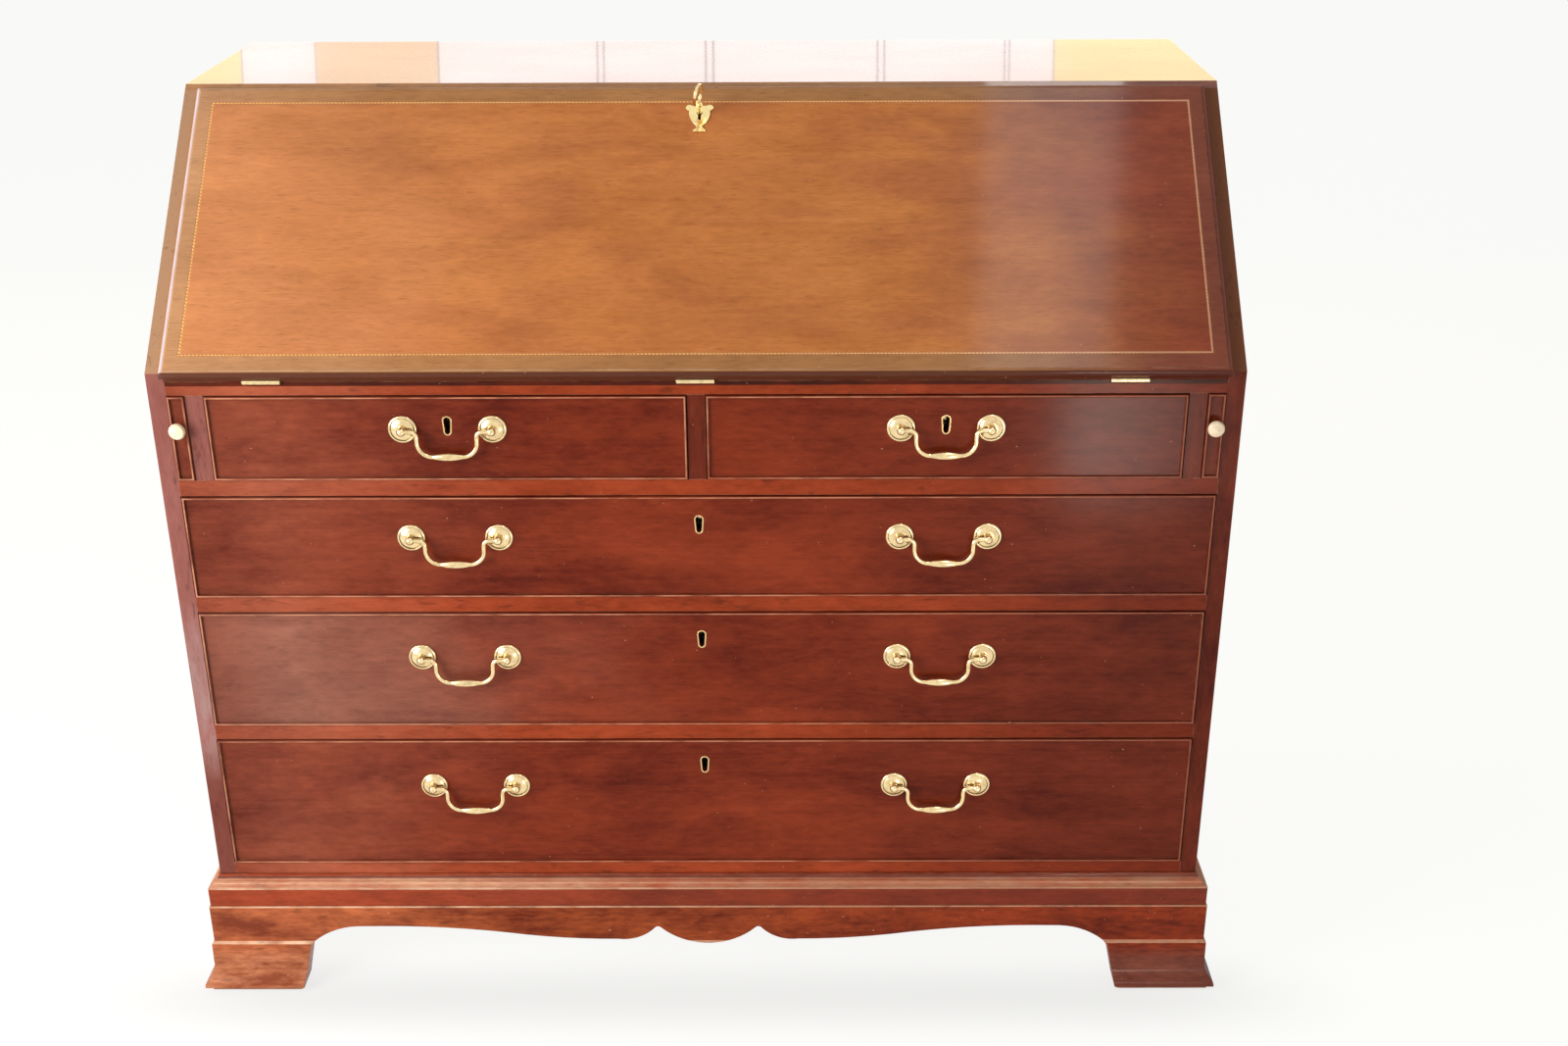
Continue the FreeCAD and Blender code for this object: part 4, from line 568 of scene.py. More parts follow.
class BUREAU_OT_finish_case(bpy.types.Operator):
    """French-polished mahogany on the case, its rails and its base"""
    bl_idname = "bureau.finish_case"
    bl_label = "Finish the case"

    def execute(self, context):
        colours = context.scene.bureau_colours
        self.sides(colours)
        self.rails(colours)
        self.base(colours)
        return {"FINISHED"}

    def sides(self, colours):
        """Sides and stiles. The left front edge gets a painted sheen, paler lower down, and is darker near the
        floor.
        """
        # French polish leaves a thin clear skin: soft reflections, and rubbed pale lines along the edges
        edge = below("Y", FRONT + 1 * MM)
        # A painted sheen on the left side's front edge, paler lower down
        sheened = both(edge, ragged_sweep(-0.3, -0.6))
        case = [figure("case"),
                # The front edges take the drawer fronts' darker colour
                figure("drawer_dark_and_shaded", edge),
                figure("stile_hazy", sheened),
                (colours.stile_sheen_lower, colours.stile_hazy_pale, both(sheened, ramp("Z", 520 * MM, 380 * MM))),
                figure("stile_low", both(sheened, ramp("Z", 340 * MM, 280 * MM))),
                # Painted highlight on the left shoulder, painted shade on the right one
                (colours.shoulder_lit, colours.shoulder_lit, shoulder),
                (colours.shoulder_shaded, colours.shoulder_shaded, both(shoulder, ragged_sweep(-0.3, 0.3)))]
        finish(("left_side", "right_side"),
               timber("mahogany_polished_upright", case, "Z", upright, gloss=0.12))
        finish(("drawer_uprights",), timber("mahogany_polished_stiles", case, "Z", upright, gloss=0.15))

    def rails(self, colours):
        """Rails, paler at the left as painted light, with painted shade at the right and both ends and under the
        fall's lip.
        """
        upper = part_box("front_rails")[1][2]
        rails = [figure("rail"),
                 figure("rail_lit", ragged_sweep(-0.15, -0.65)),
                 figure("rail_deep", ragged_sweep(0.05, 0.6)),
                 figure("rail_deep", ends),
                 # A painted shadow under the lip of the fall, along the top of the upper rail
                 (colours.rail_deep_dark, colours.grime, between(upper - 5 * MM, upper))]
        finish(("front_rails",),
               timber("mahogany_polished_rails", rails, "X", upright, coat=0.09, gloss=0.17))

    def base(self, colours):
        """Feet, apron and moulding, with painted highlights along their arrises and painted shade along the
        toes.
        """
        # The feet are knocked and dusted most: strong figure under thin polish, and painted highlights on the
        # arrises
        # Painted light: the base and its flares paler at the left, painted shade at the right
        flares = ramp("Z", 60 * MM, 40 * MM)
        lit = ragged_sweep(-0.15, -0.65)
        base = [figure("base"),
                figure("base_lit", lit),
                figure("base_deep", ragged_sweep(-0.35, 0.5)),
                figure("flare", both(flares, lit)),
                figure("flare_shaded", both(flares, ragged_sweep(0.05, 0.6)))]
        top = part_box("base_moulding")[1][2]
        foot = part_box("bracket_feet")[1][2]
        lines = broken_level_lines((top - 9.6 * MM, top - 8.8 * MM), (top - 14.6 * MM, top - 12.8 * MM),
                             (foot - 1.6 * MM, foot), (foot - 52.3 * MM, foot - 49.3 * MM))
        arrises = [(colours.arris_highlight, colours.arris_highlight, lines),
                   (colours.arris_highlight_dim, colours.arris_highlight_dim, both(lines, ragged_sweep(-0.35, 0.2)))]
        # Along the toes: a broken dark line, part soiling and part painted shade, and a painted highlight below
        # it
        toes = [(colours.grime, colours.base_deep_dark, broken_level_lines((3.5 * MM, 6.5 * MM))),
                (colours.arris_highlight_dim, colours.arris_highlight_dim, broken_level_lines((0, 2.5 * MM)))]
        finish(("bracket_feet", "front_apron"),
               timber("mahogany_polished_base", base + arrises + toes, "X", mitred, wear=0.0, contrast=1.5,
                      dirt=0.4))
        # The coves face upwards and get painted highlights, dimmer at the right, below a quirk of painted shade
        hollows = between(top - 14 * MM, top - 4.8 * MM)
        coves = [figure("rail"),
                 figure("rail_deep", ragged_sweep(-0.7, 0.4)),
                 (colours.quirk, colours.rail_deep_dark, between(top - 4.8 * MM, top - 2.4 * MM)),
                 (colours.cove, colours.rail_pale, hollows),
                 (colours.cove_highlight_dim, colours.rail_pale, both(hollows, ragged_sweep(-0.35, 0.15)))] + arrises
        finish(("base_moulding",),
               timber("mahogany_polished_coves", coves, "X", mitred, coat=0.25, contrast=1.3, dirt=0.4,
                      flecked=0.2))


class BUREAU_OT_finish_top(bpy.types.Operator):
    """A higher polish on the top board, which mirrors the room at a low angle"""
    bl_idname = "bureau.finish_top"
    bl_label = "Finish the top"

    def execute(self, context):
        # The top is handled less and keeps its full polish; its bevel has the banding's colours, redder and with
        # painted shade at the right
        shades = [figure("top"),
                  figure("band", shoulder),
                  figure("band_red_shaded", both(shoulder, ragged_sweep(0.15, 0.55)))]
        finish(("top_board",), timber("mahogany_full_polish_top", shades, "X", upright, coat=1.0, rough=0.25))
        return {"FINISHED"}


class BUREAU_OT_finish_fall(bpy.types.Operator):
    """Faded mahogany veneer on the fall, with a band of its own hue outside the stringing"""
    bl_idname = "bureau.finish_fall"
    bl_label = "Finish the fall"

    def execute(self, context):
        colours = context.scene.bureau_colours
        # The veneer is gold, with a painted sheen at the far left; at the right it turns red, partly its own
        # hue, partly painted shade
        red_and_shaded = ragged_sweep(0.24, 0.54)
        # The lip has a painted highlight along its field, a painted reflection on its left end and painted shade
        # underneath
        rubbed = both(both(field_line, broken(0.3)), ragged_sweep(0.5, -0.2))
        end_glint = both(near("X", -LIP_END, 1.5 * MM, sloping), broken(0.6))
        underside = ramp("Y", -2.2 * MM, -3.4 * MM, 0.9, sloping)
        shades = [figure("fall"),
                  figure("fall_warm", patches),
                  figure("fall_sheen", ragged_sweep(-0.05, -0.65)),
                  figure("fall_red_shaded", red_and_shaded),
                  figure("band", banding),
                  figure("band_sheen", both(banding, ragged_sweep(-0.25, -0.65))),
                  figure("band_red_shaded", both(banding, red_and_shaded)),
                  (colours.lip_highlight, colours.lip_highlight, rubbed),
                  (colours.lip_end_glint, colours.lip_end_glint, end_glint),
                  (colours.lip_under, colours.lip_under, underside),
                  figure("inner", below("Z", INNER_FACE, sloping))]
        finish(("fall_board",), timber("mahogany_veneer_faded", shades, "X", sloping, coat=0.24, rough=0.34,
                                       contrast=1.0, gloss=0.1, flecked=0.06, broad=1.7))
        return {"FINISHED"}


class BUREAU_OT_finish_drawers(bpy.types.Operator):
    """Dark mahogany on the drawer fronts and lopers, with painted highlights on the cockbeads"""
    bl_idname = "bureau.finish_drawers"
    bl_label = "Finish the drawer fronts"

    def execute(self, context):
        colours = context.scene.bureau_colours
        # The beads stand proud: a painted highlight runs along their tops, dimmer towards the right
        foremost = min(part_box(f"{name}_front")[0][1] for name in DRAWERS)
        crest_highlights = both(ramp("Y", foremost + 0.2 * MM, foremost + 0.04 * MM), broken(0.25))
        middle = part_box("middle_long_drawer_front")
        shades = [figure("drawer"),
                  # Painted light at the left, painted shade at the right and both ends, a painted sheen on the
                  # middle drawer's left
                  figure("drawer_lit", ragged_sweep(-0.1, -0.7)),
                  figure("drawer_dark_and_shaded", ragged_sweep(0.0, 0.6)),
                  figure("drawer_sheen", both(between(middle[0].z, middle[1].z), ragged_sweep(0.0, -0.6))),
                  figure("drawer_dark_and_shaded", ends),
                  (colours.crest, colours.crest, crest_highlights),
                  (colours.crest_highlight_dim, colours.crest_highlight_dim, both(crest_highlights, ragged_sweep(0.1, 0.45)))]
        veneer = {"wear": 0.5, "flecked": 0.16, "broad": 1.6, "gloss": 0.15}
        finish([f"{name}_front" for name in DRAWERS],
               timber("mahogany_veneer_drawers", shades, "X", upright, **veneer))
        finish(("left_loper", "right_loper"),
               timber("mahogany_veneer_lopers", shades, "X", lengthwise, **veneer))
        return {"FINISHED"}


class BUREAU_OT_finish_interior(bpy.types.Operator):
    """Waxed mahogany on the writing bed, pigeonholes and small drawers"""
    bl_idname = "bureau.finish_interior"
    bl_label = "Finish the interior"

    def execute(self, context):
        colours = context.scene.bureau_colours
        # Wax, not polish, and little light: a paler, duller skin
        shades = [figure("inner")]
        waxed = {"coat": 0.1, "rough": 0.45, "wear": 0.6}
        finish(("pigeonhole_boards",), timber("mahogany_waxed_upright", shades, "Z", upright, **waxed))
        finish(("writing_bed", "pigeonhole_valances"),
               timber("mahogany_waxed_across", shades, "X", upright, **waxed))
        pulls = shades + [(colours.bone, colours.bone_stain, below("Y", NEST_FRONT - 0.2 * MM))]
        finish(SMALL_DRAWERS,
               timber("mahogany_waxed_bone_pulls", pulls, "X", upright, coat=0.15, rough=0.4, wear=0.6))
        return {"FINISHED"}


class BUREAU_OT_finish_linings(bpy.types.Operator):
    """Dry oak on the drawer linings, dustboards, back and glue blocks"""
    bl_idname = "bureau.finish_linings"
    bl_label = "Finish the linings"

    def execute(self, context):
        colours = context.scene.bureau_colours
        # Planed oak that was never polished: matt, with strong open pores
        shades = [figure("oak")]
        planed = {"coat": 0.0, "rough": 0.7, "wear": 0.3}
        coarse = {"coat": 0.0, "rough": 0.75, "wear": 0.3}
        finish([f"{name}_box" for name in DRAWERS],
               timber("oak_planed_lengthwise", shades, "X", lengthwise, **planed))
        finish(("dustboards", "case_floor"), timber("oak_planed_across", shades, "X", upright, **planed))
        finish(("glue_blocks",), timber("oak_planed_upright", shades, "Z", upright, **coarse))
        joints = shades + [(colours.grime, colours.grime, board_joints)]
        finish(("back_boards",), timber("oak_planed_boards", joints, "Z", boarded, **coarse))
        return {"FINISHED"}


class BUREAU_OT_finish_stringing(bpy.types.Operator):
    """Boxwood stringing, let in as a row of pale and dark beads"""
    bl_idname = "bureau.finish_stringing"
    bl_label = "Finish the stringing"

    def execute(self, context):
        colours = context.scene.bureau_colours
        sizes = context.scene.bureau_sizes
        # Polished flush with the veneer, so the line is as glossy as the fall; pale and dark lie in turn
        material, tree = fresh("boxwood_stringing_polished")
        axes = add(tree, "SeparateXYZ", {0: sloping(tree)}).node.outputs
        along = add(tree, "Math", {0: axes["X"], 1: axes["Y"]}, operation="ADD")
        turns = add(tree, "Math", {0: along, 1: math.tau / sizes.bead_step}, operation="MULTIPLY")
        wave = add(tree, "Math", {0: turns}, operation="SINE")
        beads = add(tree, "MapRange", {"Value": wave, "From Min": -0.5, "From Max": 0.3})
        patchy = add(tree, "TexNoise", {"Vector": sloping(tree), "Scale": 1 / (25 * MM)})
        fade = add(tree, "MapRange", {"Value": patchy, "From Min": 0.35, "From Max": 0.6, "To Min": 0.6})
        shown = add(tree, "Math", {0: beads, 1: fade}, operation="MULTIPLY")
        # Only the middle of the line is pale; old polish darkens both its sides
        past = past_edge(tree, *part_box("fall_stringing"))
        middle = add(tree, "Math", {0: past, 1: -1.0 * MM, 2: 0.8 * MM}, operation="COMPARE")
        shown = add(tree, "Math", {0: shown, 1: middle}, operation="MULTIPLY")
        colour = add(tree, "Mix", {0: shown, 6: colours.box_dark, 7: colours.box_pale}, **BLEND)
        # Redder towards the right with painted shade, as on the fall
        red = add(tree, "Math", {0: ragged_sweep(0.2, 0.55)(tree), 1: 0.7}, operation="MULTIPLY")
        colour = add(tree, "Mix", {0: red, 6: colour, 7: colours.box_red_shaded}, **BLEND)
        skin = add(tree, "BsdfPrincipled", {"Base Color": colour, "Roughness": 0.35, "Coat Weight": 0.3,
                                            "Coat Roughness": 0.12})
        add(tree, "OutputMaterial", {"Surface": skin})
        finish(("fall_stringing",), material)
        return {"FINISHED"}


class BUREAU_OT_finish_leather(bpy.types.Operator):
    """Dyed leather on the writing surface, with two tooled gold lines"""
    bl_idname = "bureau.finish_leather"
    bl_label = "Finish the writing surface"

    def execute(self, context):
        colours = context.scene.bureau_colours
        # Skiver leather: fine pebbled grain, rubbed pale in the middle, gold leaf pressed in with a fillet
        material, tree = fresh("leather_skiver_tooled")
        spot = sloping(tree)
        past = past_edge(tree, *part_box("fall_leather"))
        lines = 0.0
        for inset, reach in ((12 * MM, 1.6 * MM), (17 * MM, 0.7 * MM)):
            line = add(tree, "Math", {0: past, 1: -inset, 2: reach}, operation="COMPARE")
            lines = add(tree, "Math", {0: line, 1: lines}, operation="MAXIMUM")
        pebble = add(tree, "TexVoronoi", {"Vector": spot, "Scale": 1 / (1.6 * MM)})
        rubbing = add(tree, "TexNoise", {"Vector": spot, "Scale": 1 / (120 * MM), "Detail": 4})
        rubbed = add(tree, "MapRange", {"Value": rubbing, "From Min": 0.42, "From Max": 0.7, "To Max": 0.7})
        colour = add(tree, "Mix", {0: rubbed, 6: colours.leather, 7: colours.leather_worn}, **BLEND)
        colour = add(tree, "Mix", {0: lines, 6: colour, 7: colours.gold}, **BLEND)
        relief = add(tree, "Bump", {"Strength": 0.3, "Distance": 0.3 * MM, "Height": pebble})
        skin = add(tree, "BsdfPrincipled", {"Base Color": colour, "Metallic": lines, "Roughness": 0.5,
                                            "Normal": relief})
        add(tree, "OutputMaterial", {"Surface": skin})
        finish(("fall_leather",), material)
        return {"FINISHED"}


def brass_material(name="brass_cast_polished", bright=None, tarnished=0.35, keyholes=False):
    """Cast brass, filed and hand polished: bright on the high places and dull brown in the hollows."""
    found = bpy.data.materials.get(name)
    if found:
        return found
    colours = bpy.context.scene.bureau_colours
    material, tree = fresh(name)
    spot = upright(tree)
    blotches = add(tree, "TexNoise", {"Vector": spot, "Scale": 1 / (7 * MM), "Detail": 4})
    # Castings keep pits about a millimetre wide
    pits = add(tree, "TexNoise", {"Vector": spot, "Scale": 1 / (1.2 * MM), "Detail": 2})
    shelter = add(tree, "AmbientOcclusion", {"Distance": 8 * MM}, out="AO", samples=8)
    hollow = add(tree, "MapRange", {"Value": shelter, "From Min": 0.75, "From Max": 0.25, "To Max": 0.9})
    # The deepest hollows turn black: painted shade
    deep = add(tree, "MapRange", {"Value": shelter, "From Min": 0.3, "From Max": 0.15})
    tarnish = add(tree, "MapRange", {"Value": blotches, "From Min": 0.45, "From Max": 0.75,
                                     "To Max": tarnished})
    dull = add(tree, "Math", {0: hollow, 1: tarnish}, operation="MAXIMUM")
    colour = add(tree, "Mix", {0: dull, 6: bright or colours.brass, 7: colours.brass_dull}, **BLEND)
    colour = add(tree, "Mix", {0: deep, 6: colour, 7: colours.brass_shade_black}, **BLEND)
    if keyholes:
        # The linings lie flush with the fronts: golden on their rims, and black inside as painted shade
        for middle, reach, tint in ((0, 0.4, colours.brass_gold), (7.8, 7.2, colours.brass_shade_black)):
            shown = near("Y", FRONT + middle * MM, reach * MM)(tree)
            colour = add(tree, "Mix", {0: shown, 6: colour, 7: tint}, **BLEND)
    rough = add(tree, "MapRange", {"Value": dull, "To Min": 0.16, "To Max": 0.5})
    soft = add(tree, "Bevel", {"Radius": 0.5 * MM}, samples=6)
    relief = add(tree, "Bump", {"Strength": 0.12, "Distance": 0.2 * MM, "Height": pits, "Normal": soft})
    skin = add(tree, "BsdfPrincipled", {"Base Color": colour, "Metallic": 1.0, "Roughness": rough,
                                        "Normal": relief})
    add(tree, "OutputMaterial", {"Surface": skin})
    return material


class BUREAU_OT_finish_brass(bpy.types.Operator):
    """Polished brass on the handles, locks, hinges, escutcheon and key"""
    bl_idname = "bureau.finish_brass"
    bl_label = "Finish the brass"

    def execute(self, context):
        mounts = brass_material("brass_cast_polished_mounts", keyholes=True)
        finish([f"{name}_brasses" for name in DRAWERS], mounts)
        names = [f"{name}_lock_bolt" for name in DRAWERS]
        names += ["fall_lock_case", "fall_lock_bolt", "fall_hinge_leaves", "fall_key", "case_hinge_leaves"]
        finish(names + list(BAILS), brass_material())
        # The plate round the keyhole is sheet brass, newer and yellower than the castings
        yellow = context.scene.bureau_colours.brass_yellow
        finish(("fall_escutcheon",), brass_material("brass_sheet_polished", yellow, tarnished=0.2))
        return {"FINISHED"}


class BUREAU_OT_finish_knobs(bpy.types.Operator):
    """Turned bone on the lopers' pulls"""
    bl_idname = "bureau.finish_knobs"
    bl_label = "Finish the loper pulls"

    def execute(self, context):
        colours = context.scene.bureau_colours
        # Bone polishes to a soft gloss, with short dark pores and yellow stains where fingers hold it
        material, tree = fresh("bone_turned_polished")
        spot = upright(tree)
        stains = add(tree, "TexNoise", {"Vector": spot, "Scale": 1 / (9 * MM), "Detail": 3})
        pores = add(tree, "TexNoise", {"Vector": spot, "Scale": 1 / (0.9 * MM), "Detail": 2})
        held = add(tree, "MapRange", {"Value": stains, "From Min": 0.45, "From Max": 0.75, "To Max": 0.7})
        specks = add(tree, "MapRange", {"Value": pores, "From Min": 0.6, "From Max": 0.75, "To Max": 0.35})
        shown = add(tree, "Math", {0: held, 1: specks}, operation="MAXIMUM")
        colour = add(tree, "Mix", {0: shown, 6: colours.bone, 7: colours.bone_stain}, **BLEND)
        soft = add(tree, "Bevel", {"Radius": 0.6 * MM}, samples=4)
        skin = add(tree, "BsdfPrincipled", {"Base Color": colour, "Roughness": 0.35, "Normal": soft,
                                            "Coat Weight": 0.3, "Coat Roughness": 0.15})
        add(tree, "OutputMaterial", {"Surface": skin})
        finish(("left_loper_knob", "right_loper_knob"), material)
        return {"FINISHED"}


def polar_grid(radii, spokes):
    """Radius and angle at each crossing of rings and spokes, as two arrays."""
    return np.meshgrid(radii, np.linspace(0, 2 * np.pi, spokes, endpoint=False), indexing="ij")


def ring_faces(rings, spokes):
    """Four-sided faces between neighbours on a polar grid, closed round its middle."""
    ring, spoke = np.meshgrid(np.arange(rings - 1), np.arange(spokes), indexing="ij")
    following = (spoke + 1) % spokes
    corners = (ring * spokes + spoke, (ring + 1) * spokes + spoke, (ring + 1) * spokes + following,
               ring * spokes + following)
    return np.stack(corners, axis=-1).reshape(-1, 4)


def slotted_head(radius, rise):
    """A screw head over a polar grid: height = rise x (1 - (r / radius) squared), less a slot across it."""
    out, turn = polar_grid(np.linspace(0, 1, 14), 48)
    x = radius * out * np.cos(turn)
    y = radius * out * np.sin(turn)
    slot = np.clip(1 - np.abs(y) / (0.16 * radius), 0, 1) ** 0.25
    z = rise * (1 - out ** 2) - 0.9 * rise * slot
    z[-1] = -rise
    return np.stack([x, y, z], axis=-1)


def domed_head(radius, rise):
    """A round head over a polar grid: height = rise x square root of (1 - (r / radius) squared)."""
    out, turn = polar_grid(np.linspace(0, 1, 8), 24)
    z = rise * np.sqrt(np.clip(1 - out ** 2, 0, 1))
    z[-1] = -rise
    return np.stack([radius * out * np.cos(turn), radius * out * np.sin(turn), z], axis=-1)


def heads(name, shape, places, material, body):
    """One mesh of copies of a polar grid, each moved by a matrix, joined in rings of four-sided faces."""
    faces = ring_faces(*shape.shape[:2])
    flat = np.insert(shape.reshape(-1, 3), 3, 1.0, axis=1)
    points = [flat @ np.array(place).T for place in places]
    copies = [faces + count * len(flat) for count in range(len(places))]
    mesh = bpy.data.meshes.new(name)
    mesh.from_pydata(np.concatenate(points)[:, :3].tolist(), [], np.concatenate(copies).tolist())
    mesh.shade_smooth()
    mesh.materials.append(material)
    piece = bpy.data.objects.new(name, mesh)
    bpy.context.scene.collection.objects.link(piece)
    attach(piece, body)


def facing(place, outward, turn):
    """A matrix that stands a head at a place, looking outward, with its slot turned by an angle."""
    looking = Vector(outward).to_track_quat("Z", "Y").to_matrix().to_4x4()
    return Matrix.Translation(place) @ looking @ Matrix.Rotation(turn, 4, "Z")


class BUREAU_OT_add_lock_screws(bpy.types.Operator):
    """Four slotted screws at the corners of each lock's case"""
    bl_idname = "bureau.add_lock_screws"
    bl_label = "Add the lock screws"

    def execute(self, context):
        shape = slotted_head(context.scene.bureau_sizes.screw, 0.5 * MM)
        for count, drawer in enumerate(DRAWERS):
            low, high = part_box(f"{drawer}_lock_bolt")
            middle = (low.x + high.x) / 2
            back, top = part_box(f"{drawer}_front")[1].yz
            # The slots stand at all angles, as a screwdriver leaves them
            places = [facing((middle + side * (LOCK_HALF - LOCK_INSET), back, top - drop), (0, 1, 0),
                             0.7 * count + side + drop * 90)
                      for side in (-1, 1) for drop in LOCK_DROPS]
            heads(f"{drawer}_lock_screws", shape, places, brass_material(), drawer)
        return {"FINISHED"}


class BUREAU_OT_add_hinge_screws(bpy.types.Operator):
    """Three slotted screws in each leaf of the butt hinges"""
    bl_idname = "bureau.add_hinge_screws"
    bl_label = "Add the hinge screws"

    def execute(self, context):
        shape = slotted_head(context.scene.bureau_sizes.screw, 0.4 * MM)
        hinge = next(joint for joint in frame["joints"] if joint["name"] == "fall_hinge")
        low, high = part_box("case_hinge_leaves")
        reach = (high.x - low.x) / 2 - HINGE_HALF
        spots = [(middle + across, back) for middle in (-reach, 0, reach)
                 for across, back in ((-13 * MM, 10 * MM), (0, 19 * MM), (13 * MM, 10 * MM))]
        pivots = [(Vector((across, *hinge["pos_m"][1:])), back) for across, back in spots]
        fixed = [facing(pivot + Vector((0, back, 0)), (0, 0, 1), 70 * pivot.x) for pivot, back in pivots]
        swinging = [facing(pivot + UPHILL * back, -OUTWARD, 90 * pivot.x) for pivot, back in pivots]
        heads("case_hinge_screws", shape, fixed, brass_material(), "carcase")
        heads("fall_hinge_screws", shape, swinging, brass_material(), "fall")
        return {"FINISHED"}


class BUREAU_OT_add_escutcheon_pins(bpy.types.Operator):
    """Three round-headed pins that hold the vase-shaped escutcheon"""
    bl_idname = "bureau.add_escutcheon_pins"
    bl_label = "Add the escutcheon pins"

    def execute(self, context):
        shape = domed_head(context.scene.bureau_sizes.pin, 0.6 * MM)
        mesh = frame["nodes"]["fall_escutcheon"].data
        points = np.empty(3 * len(mesh.vertices))
        mesh.vertices.foreach_get("co", points)
        face = ((points.reshape(-1, 3) - np.array(KEY_PLACE)) @ np.array(OUTWARD)).max()
        spots = ((-11 * MM, 7.5 * MM), (11 * MM, 7.5 * MM), (0, -21 * MM))
        places = [facing(KEY_PLACE + Vector((across, 0, 0)) + UPHILL * up + OUTWARD * float(face), OUTWARD, 0)
                  for across, up in spots]
        heads("fall_escutcheon_pins", shape, places, brass_material(), "fall")
        return {"FINISHED"}


class BUREAU_OT_add_back_nails(bpy.types.Operator):
    """Forged nails that hold the back boards to the case"""
    bl_idname = "bureau.add_back_nails"
    bl_label = "Add the nails of the back"

    def execute(self, context):
        colours = context.scene.bureau_colours
        # Forged iron: near black, rough, with brown rust
        material, tree = fresh("iron_forged_nails")
        rust = add(tree, "TexNoise", {"Vector": upright(tree), "Scale": 1 / (2 * MM), "Detail": 3})
        colour = add(tree, "Mix", {0: rust, 6: colours.iron, 7: colours.rust}, **BLEND)
        skin = add(tree, "BsdfPrincipled", {"Base Color": colour, "Roughness": 0.7, "Metallic": 0.4})
        add(tree, "OutputMaterial", {"Surface": skin})
        low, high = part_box("back_boards")
        wide = (high.x - low.x) / BACK_BOARDS
        levels = (low.z + 30 * MM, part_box("dustboards")[0][2] + 8 * MM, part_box("writing_bed")[0][2] + 8 * MM,
                  high.z - 12 * MM)
        places = [facing((low.x + (board + part) * wide, high.y, level), (0, 1, 0), board)
                  for board in range(BACK_BOARDS) for part in (0.2, 0.8) for level in levels]
        shape = domed_head(context.scene.bureau_sizes.nail, 0.7 * MM)
        heads("back_board_nails", shape, places, material, "carcase")
        return {"FINISHED"}


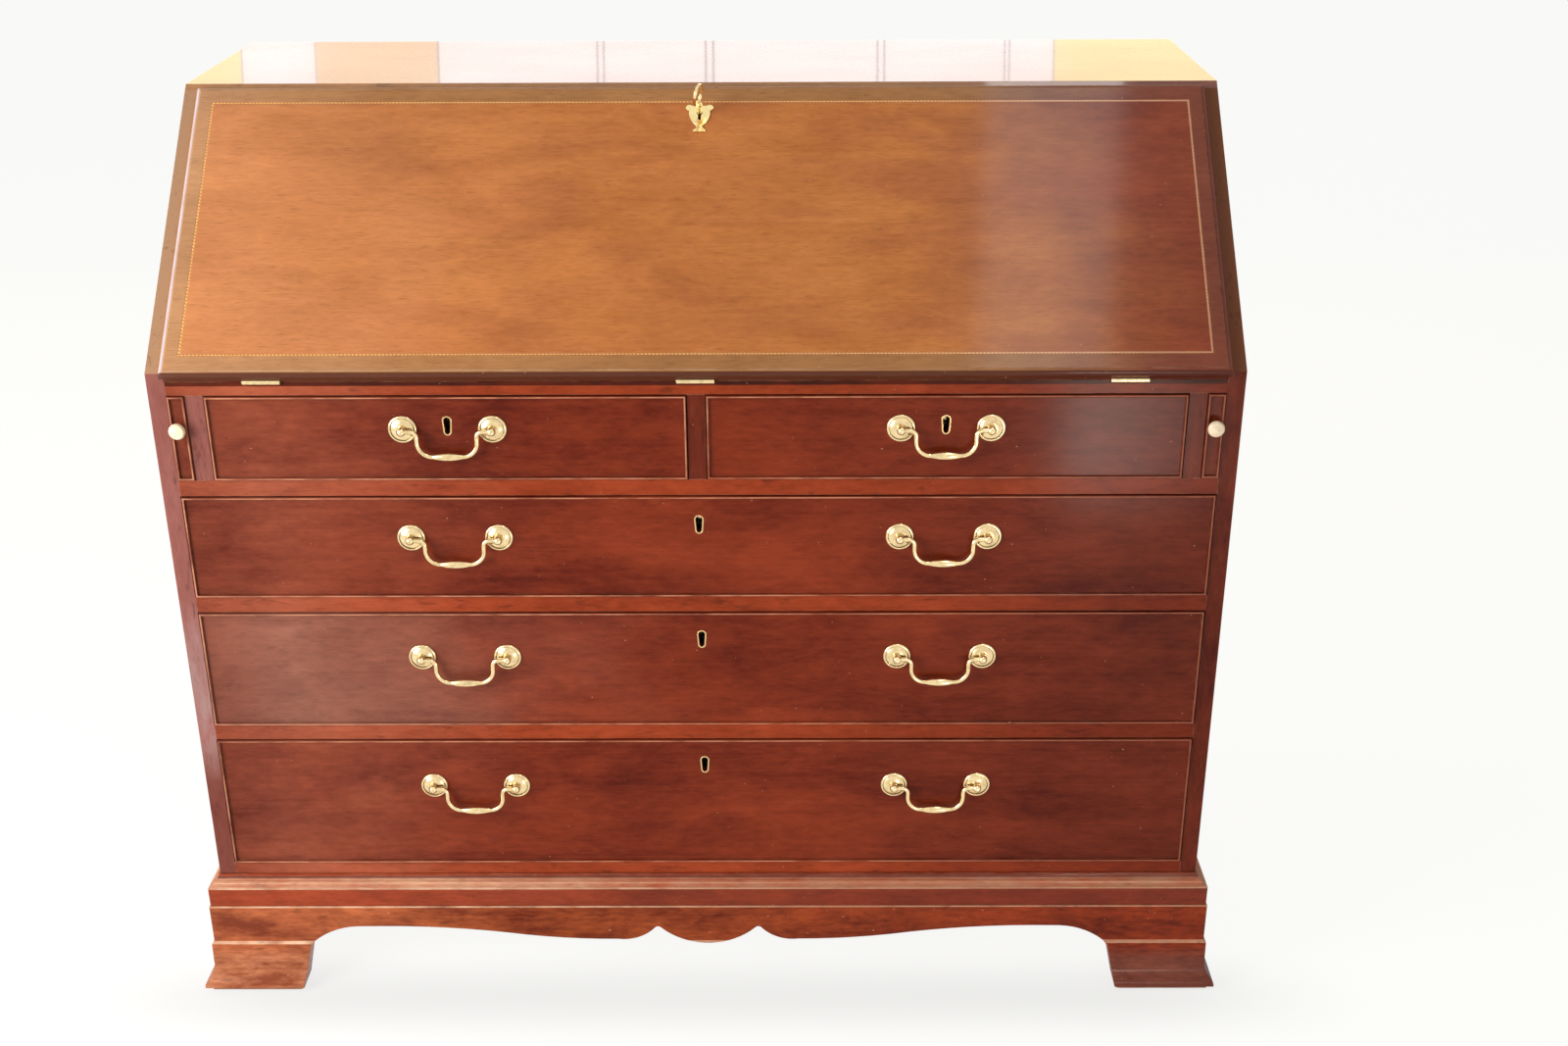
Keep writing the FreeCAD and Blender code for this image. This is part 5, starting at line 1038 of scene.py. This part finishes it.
class BUREAU_OT_set_stage(bpy.types.Operator):
    """A pale floor, soft studio light and the photograph's camera"""
    bl_idname = "bureau.set_stage"
    bl_label = "Set the stage"

    def execute(self, context):
        scene = context.scene
        studio = scene.bureau_studio
        colours = scene.bureau_colours
        scene.view_settings.view_transform = "Standard"
        self.floor(scene, colours)
        self.sky(scene, studio, colours)
        for name, (place, target, wide, high) in LAMPS.items():
            self.lamp(scene, f"{name}_light", place, target, wide, high, getattr(studio, name))
        for count, share in enumerate(LOW_SHARES):
            place = LOW_PLACE + Vector((LOW_WIDE * count, 0, 0))
            self.lamp(scene, f"low_light_{count}", place, place + LOW_AIM, LOW_WIDE, LOW_HIGH,
                      studio.low * share, colours.low)
        for count, (left, right, hue) in enumerate(PANES):
            place = Vector(((left + right) / 2, PANE_BACK, PANE_LEVEL))
            self.lamp(scene, f"rear_light_{count}", place, place + PANE_AIM, right - left, PANE_HIGH,
                      studio.rear * (right - left) / PANES_WIDE, getattr(colours, hue))
        self.camera(scene)
        return {"FINISHED"}

    def seen(self, tree):
        """One for camera, mirror and clear rays, which see the pale ground as white as the eye does."""
        rays = add(tree, "LightPath").node.outputs
        either = add(tree, "Math", {0: rays["Is Camera Ray"], 1: rays["Is Glossy Ray"]}, operation="MAXIMUM")
        return add(tree, "Math", {0: either, 1: rays["Is Transmission Ray"]}, operation="MAXIMUM")

    def floor(self, scene, colours):
        """A round floor: radius and angle over a polar grid, at the height of the feet."""
        out, turn = polar_grid([0.0, 1.0, 4.0, 40.0], 64)
        points = np.stack([out * np.cos(turn), out * np.sin(turn), np.zeros_like(out)], axis=-1)
        mesh = bpy.data.meshes.new("studio_floor")
        mesh.from_pydata(points.reshape(-1, 3).tolist(), [], ring_faces(*out.shape).tolist())
        # Painted boards: matt and even, mostly shown as their plain colour, so that the shadow stays faint,
        # and darker in a soft painted shadow just before the feet
        material, tree = fresh("studio_floor_painted")
        matt = add(tree, "BsdfDiffuse", {"Color": colours.floor})
        middle = Vector((0, FRONT - 37 * MM, 0))
        near = add(tree, "VectorMath", {0: upright(tree), 1: middle}, operation="SUBTRACT")
        away = add(tree, "VectorMath", {0: near}, operation="ABSOLUTE")
        away = add(tree, "SeparateXYZ", {0: away}).node.outputs
        shadow_pool = 1.0
        for axis, none, full in (("X", 0.82, 0.5), ("Y", 0.1, 0.0)):
            part = add(tree, "MapRange", {"Value": away[axis], "From Min": none, "From Max": full},
                       interpolation_type="SMOOTHSTEP")
            shadow_pool = add(tree, "Math", {0: part, 1: shadow_pool}, operation="MULTIPLY")
        strength = add(tree, "MapRange", {"Value": shadow_pool, "To Min": 1.05, "To Max": 0.89})
        plain = add(tree, "Emission", {"Color": colours.floor, "Strength": strength})
        share = add(tree, "Math", {0: self.seen(tree), 1: 0.88}, operation="MULTIPLY")
        skin = add(tree, "MixShader", {0: share, 1: matt, 2: plain})
        add(tree, "OutputMaterial", {"Surface": skin})
        mesh.materials.append(material)
        floor = bpy.data.objects.new("studio_floor", mesh)
        scene.collection.objects.link(floor)

    def sky(self, scene, studio, colours):
        """Even white light all round, seen as white."""
        world = bpy.data.worlds.new("studio_light")
        world.use_nodes = True
        tree = world.node_tree
        tree.nodes.clear()
        strength = add(tree, "MapRange", {"Value": self.seen(tree), "To Min": studio.sky})
        light = add(tree, "Background", {"Color": colours.floor, "Strength": strength})
        add(tree, "OutputWorld", {"Surface": light})
        scene.world = world

    def lamp(self, scene, name, place, target, wide, high, power, colour=(1, 1, 1, 1)):
        """A flat soft light that looks at a target."""
        light = bpy.data.lights.new(name, "AREA")
        light.color = colour[:3]
        light.shape = "RECTANGLE"
        light.size = wide
        light.size_y = high
        light.energy = power
        lamp = bpy.data.objects.new(name, light)
        aim = (Vector(target) - Vector(place)).to_track_quat("-Z", "Y").to_matrix().to_4x4()
        lamp.matrix_world = Matrix.Translation(place) @ aim
        scene.collection.objects.link(lamp)

    def camera(self, scene):
        """The photograph's view: pitched down, then turned by the yaw and rolled about the line of sight."""
        lens = bpy.data.cameras.new("photograph_view")
        lens.sensor_width = CAMERA_SENSOR
        lens.lens = CAMERA_LENS
        pitch, yaw, roll = (math.radians(angle) for angle in (CAMERA_PITCH, CAMERA_YAW, CAMERA_ROLL))
        ahead = Vector((math.sin(yaw) * math.cos(pitch), math.cos(yaw) * math.cos(pitch), -math.sin(pitch)))
        right = Vector((math.cos(yaw), -math.sin(yaw), 0))
        above = right.cross(ahead)
        columns = (right * math.cos(roll) + above * math.sin(roll),
                   above * math.cos(roll) - right * math.sin(roll), -ahead)
        camera = bpy.data.objects.new("photograph_view", lens)
        camera.matrix_world = Matrix.Translation(CAMERA_PLACE) @ Matrix(columns).transposed().to_4x4()
        scene.collection.objects.link(camera)
        scene.camera = camera


STEPS = (BUREAU_OT_finish_case, BUREAU_OT_finish_top, BUREAU_OT_finish_fall, BUREAU_OT_finish_drawers,
         BUREAU_OT_finish_interior, BUREAU_OT_finish_linings, BUREAU_OT_finish_stringing,
         BUREAU_OT_finish_leather, BUREAU_OT_finish_brass, BUREAU_OT_finish_knobs,
         BUREAU_OT_add_lock_screws, BUREAU_OT_add_hinge_screws, BUREAU_OT_add_escutcheon_pins,
         BUREAU_OT_add_back_nails, BUREAU_OT_set_stage)


class BUREAU_PT_sidebar(bpy.types.Panel):
    """Every step of the bureau's looks, in order"""
    bl_idname = "BUREAU_PT_sidebar"
    bl_label = "Slant-front bureau"
    bl_space_type = "VIEW_3D"
    bl_region_type = "UI"
    bl_category = "Bureau"

    def draw(self, context):
        for step in STEPS:
            self.layout.operator(step.bl_idname)


GROUPS = {"bureau_colours": BureauColours, "bureau_sizes": BureauSizes, "bureau_studio": BureauStudio}


def register():
    """Add the settings, the operators and the panel."""
    for name, group in GROUPS.items():
        bpy.utils.register_class(group)
        setattr(bpy.types.Scene, name, PointerProperty(type=group))
    for step in (*STEPS, BUREAU_PT_sidebar):
        bpy.utils.register_class(step)


def unregister():
    """Take them away again."""
    for step in reversed((*STEPS, BUREAU_PT_sidebar)):
        bpy.utils.unregister_class(step)
    for name, group in GROUPS.items():
        delattr(bpy.types.Scene, name)
        bpy.utils.unregister_class(group)


def main():
    """Run every step."""
    register()
    for step in STEPS:
        group, name = step.bl_idname.split(".")
        getattr(getattr(bpy.ops, group), name)()


if __name__ == "__main__":
    main()
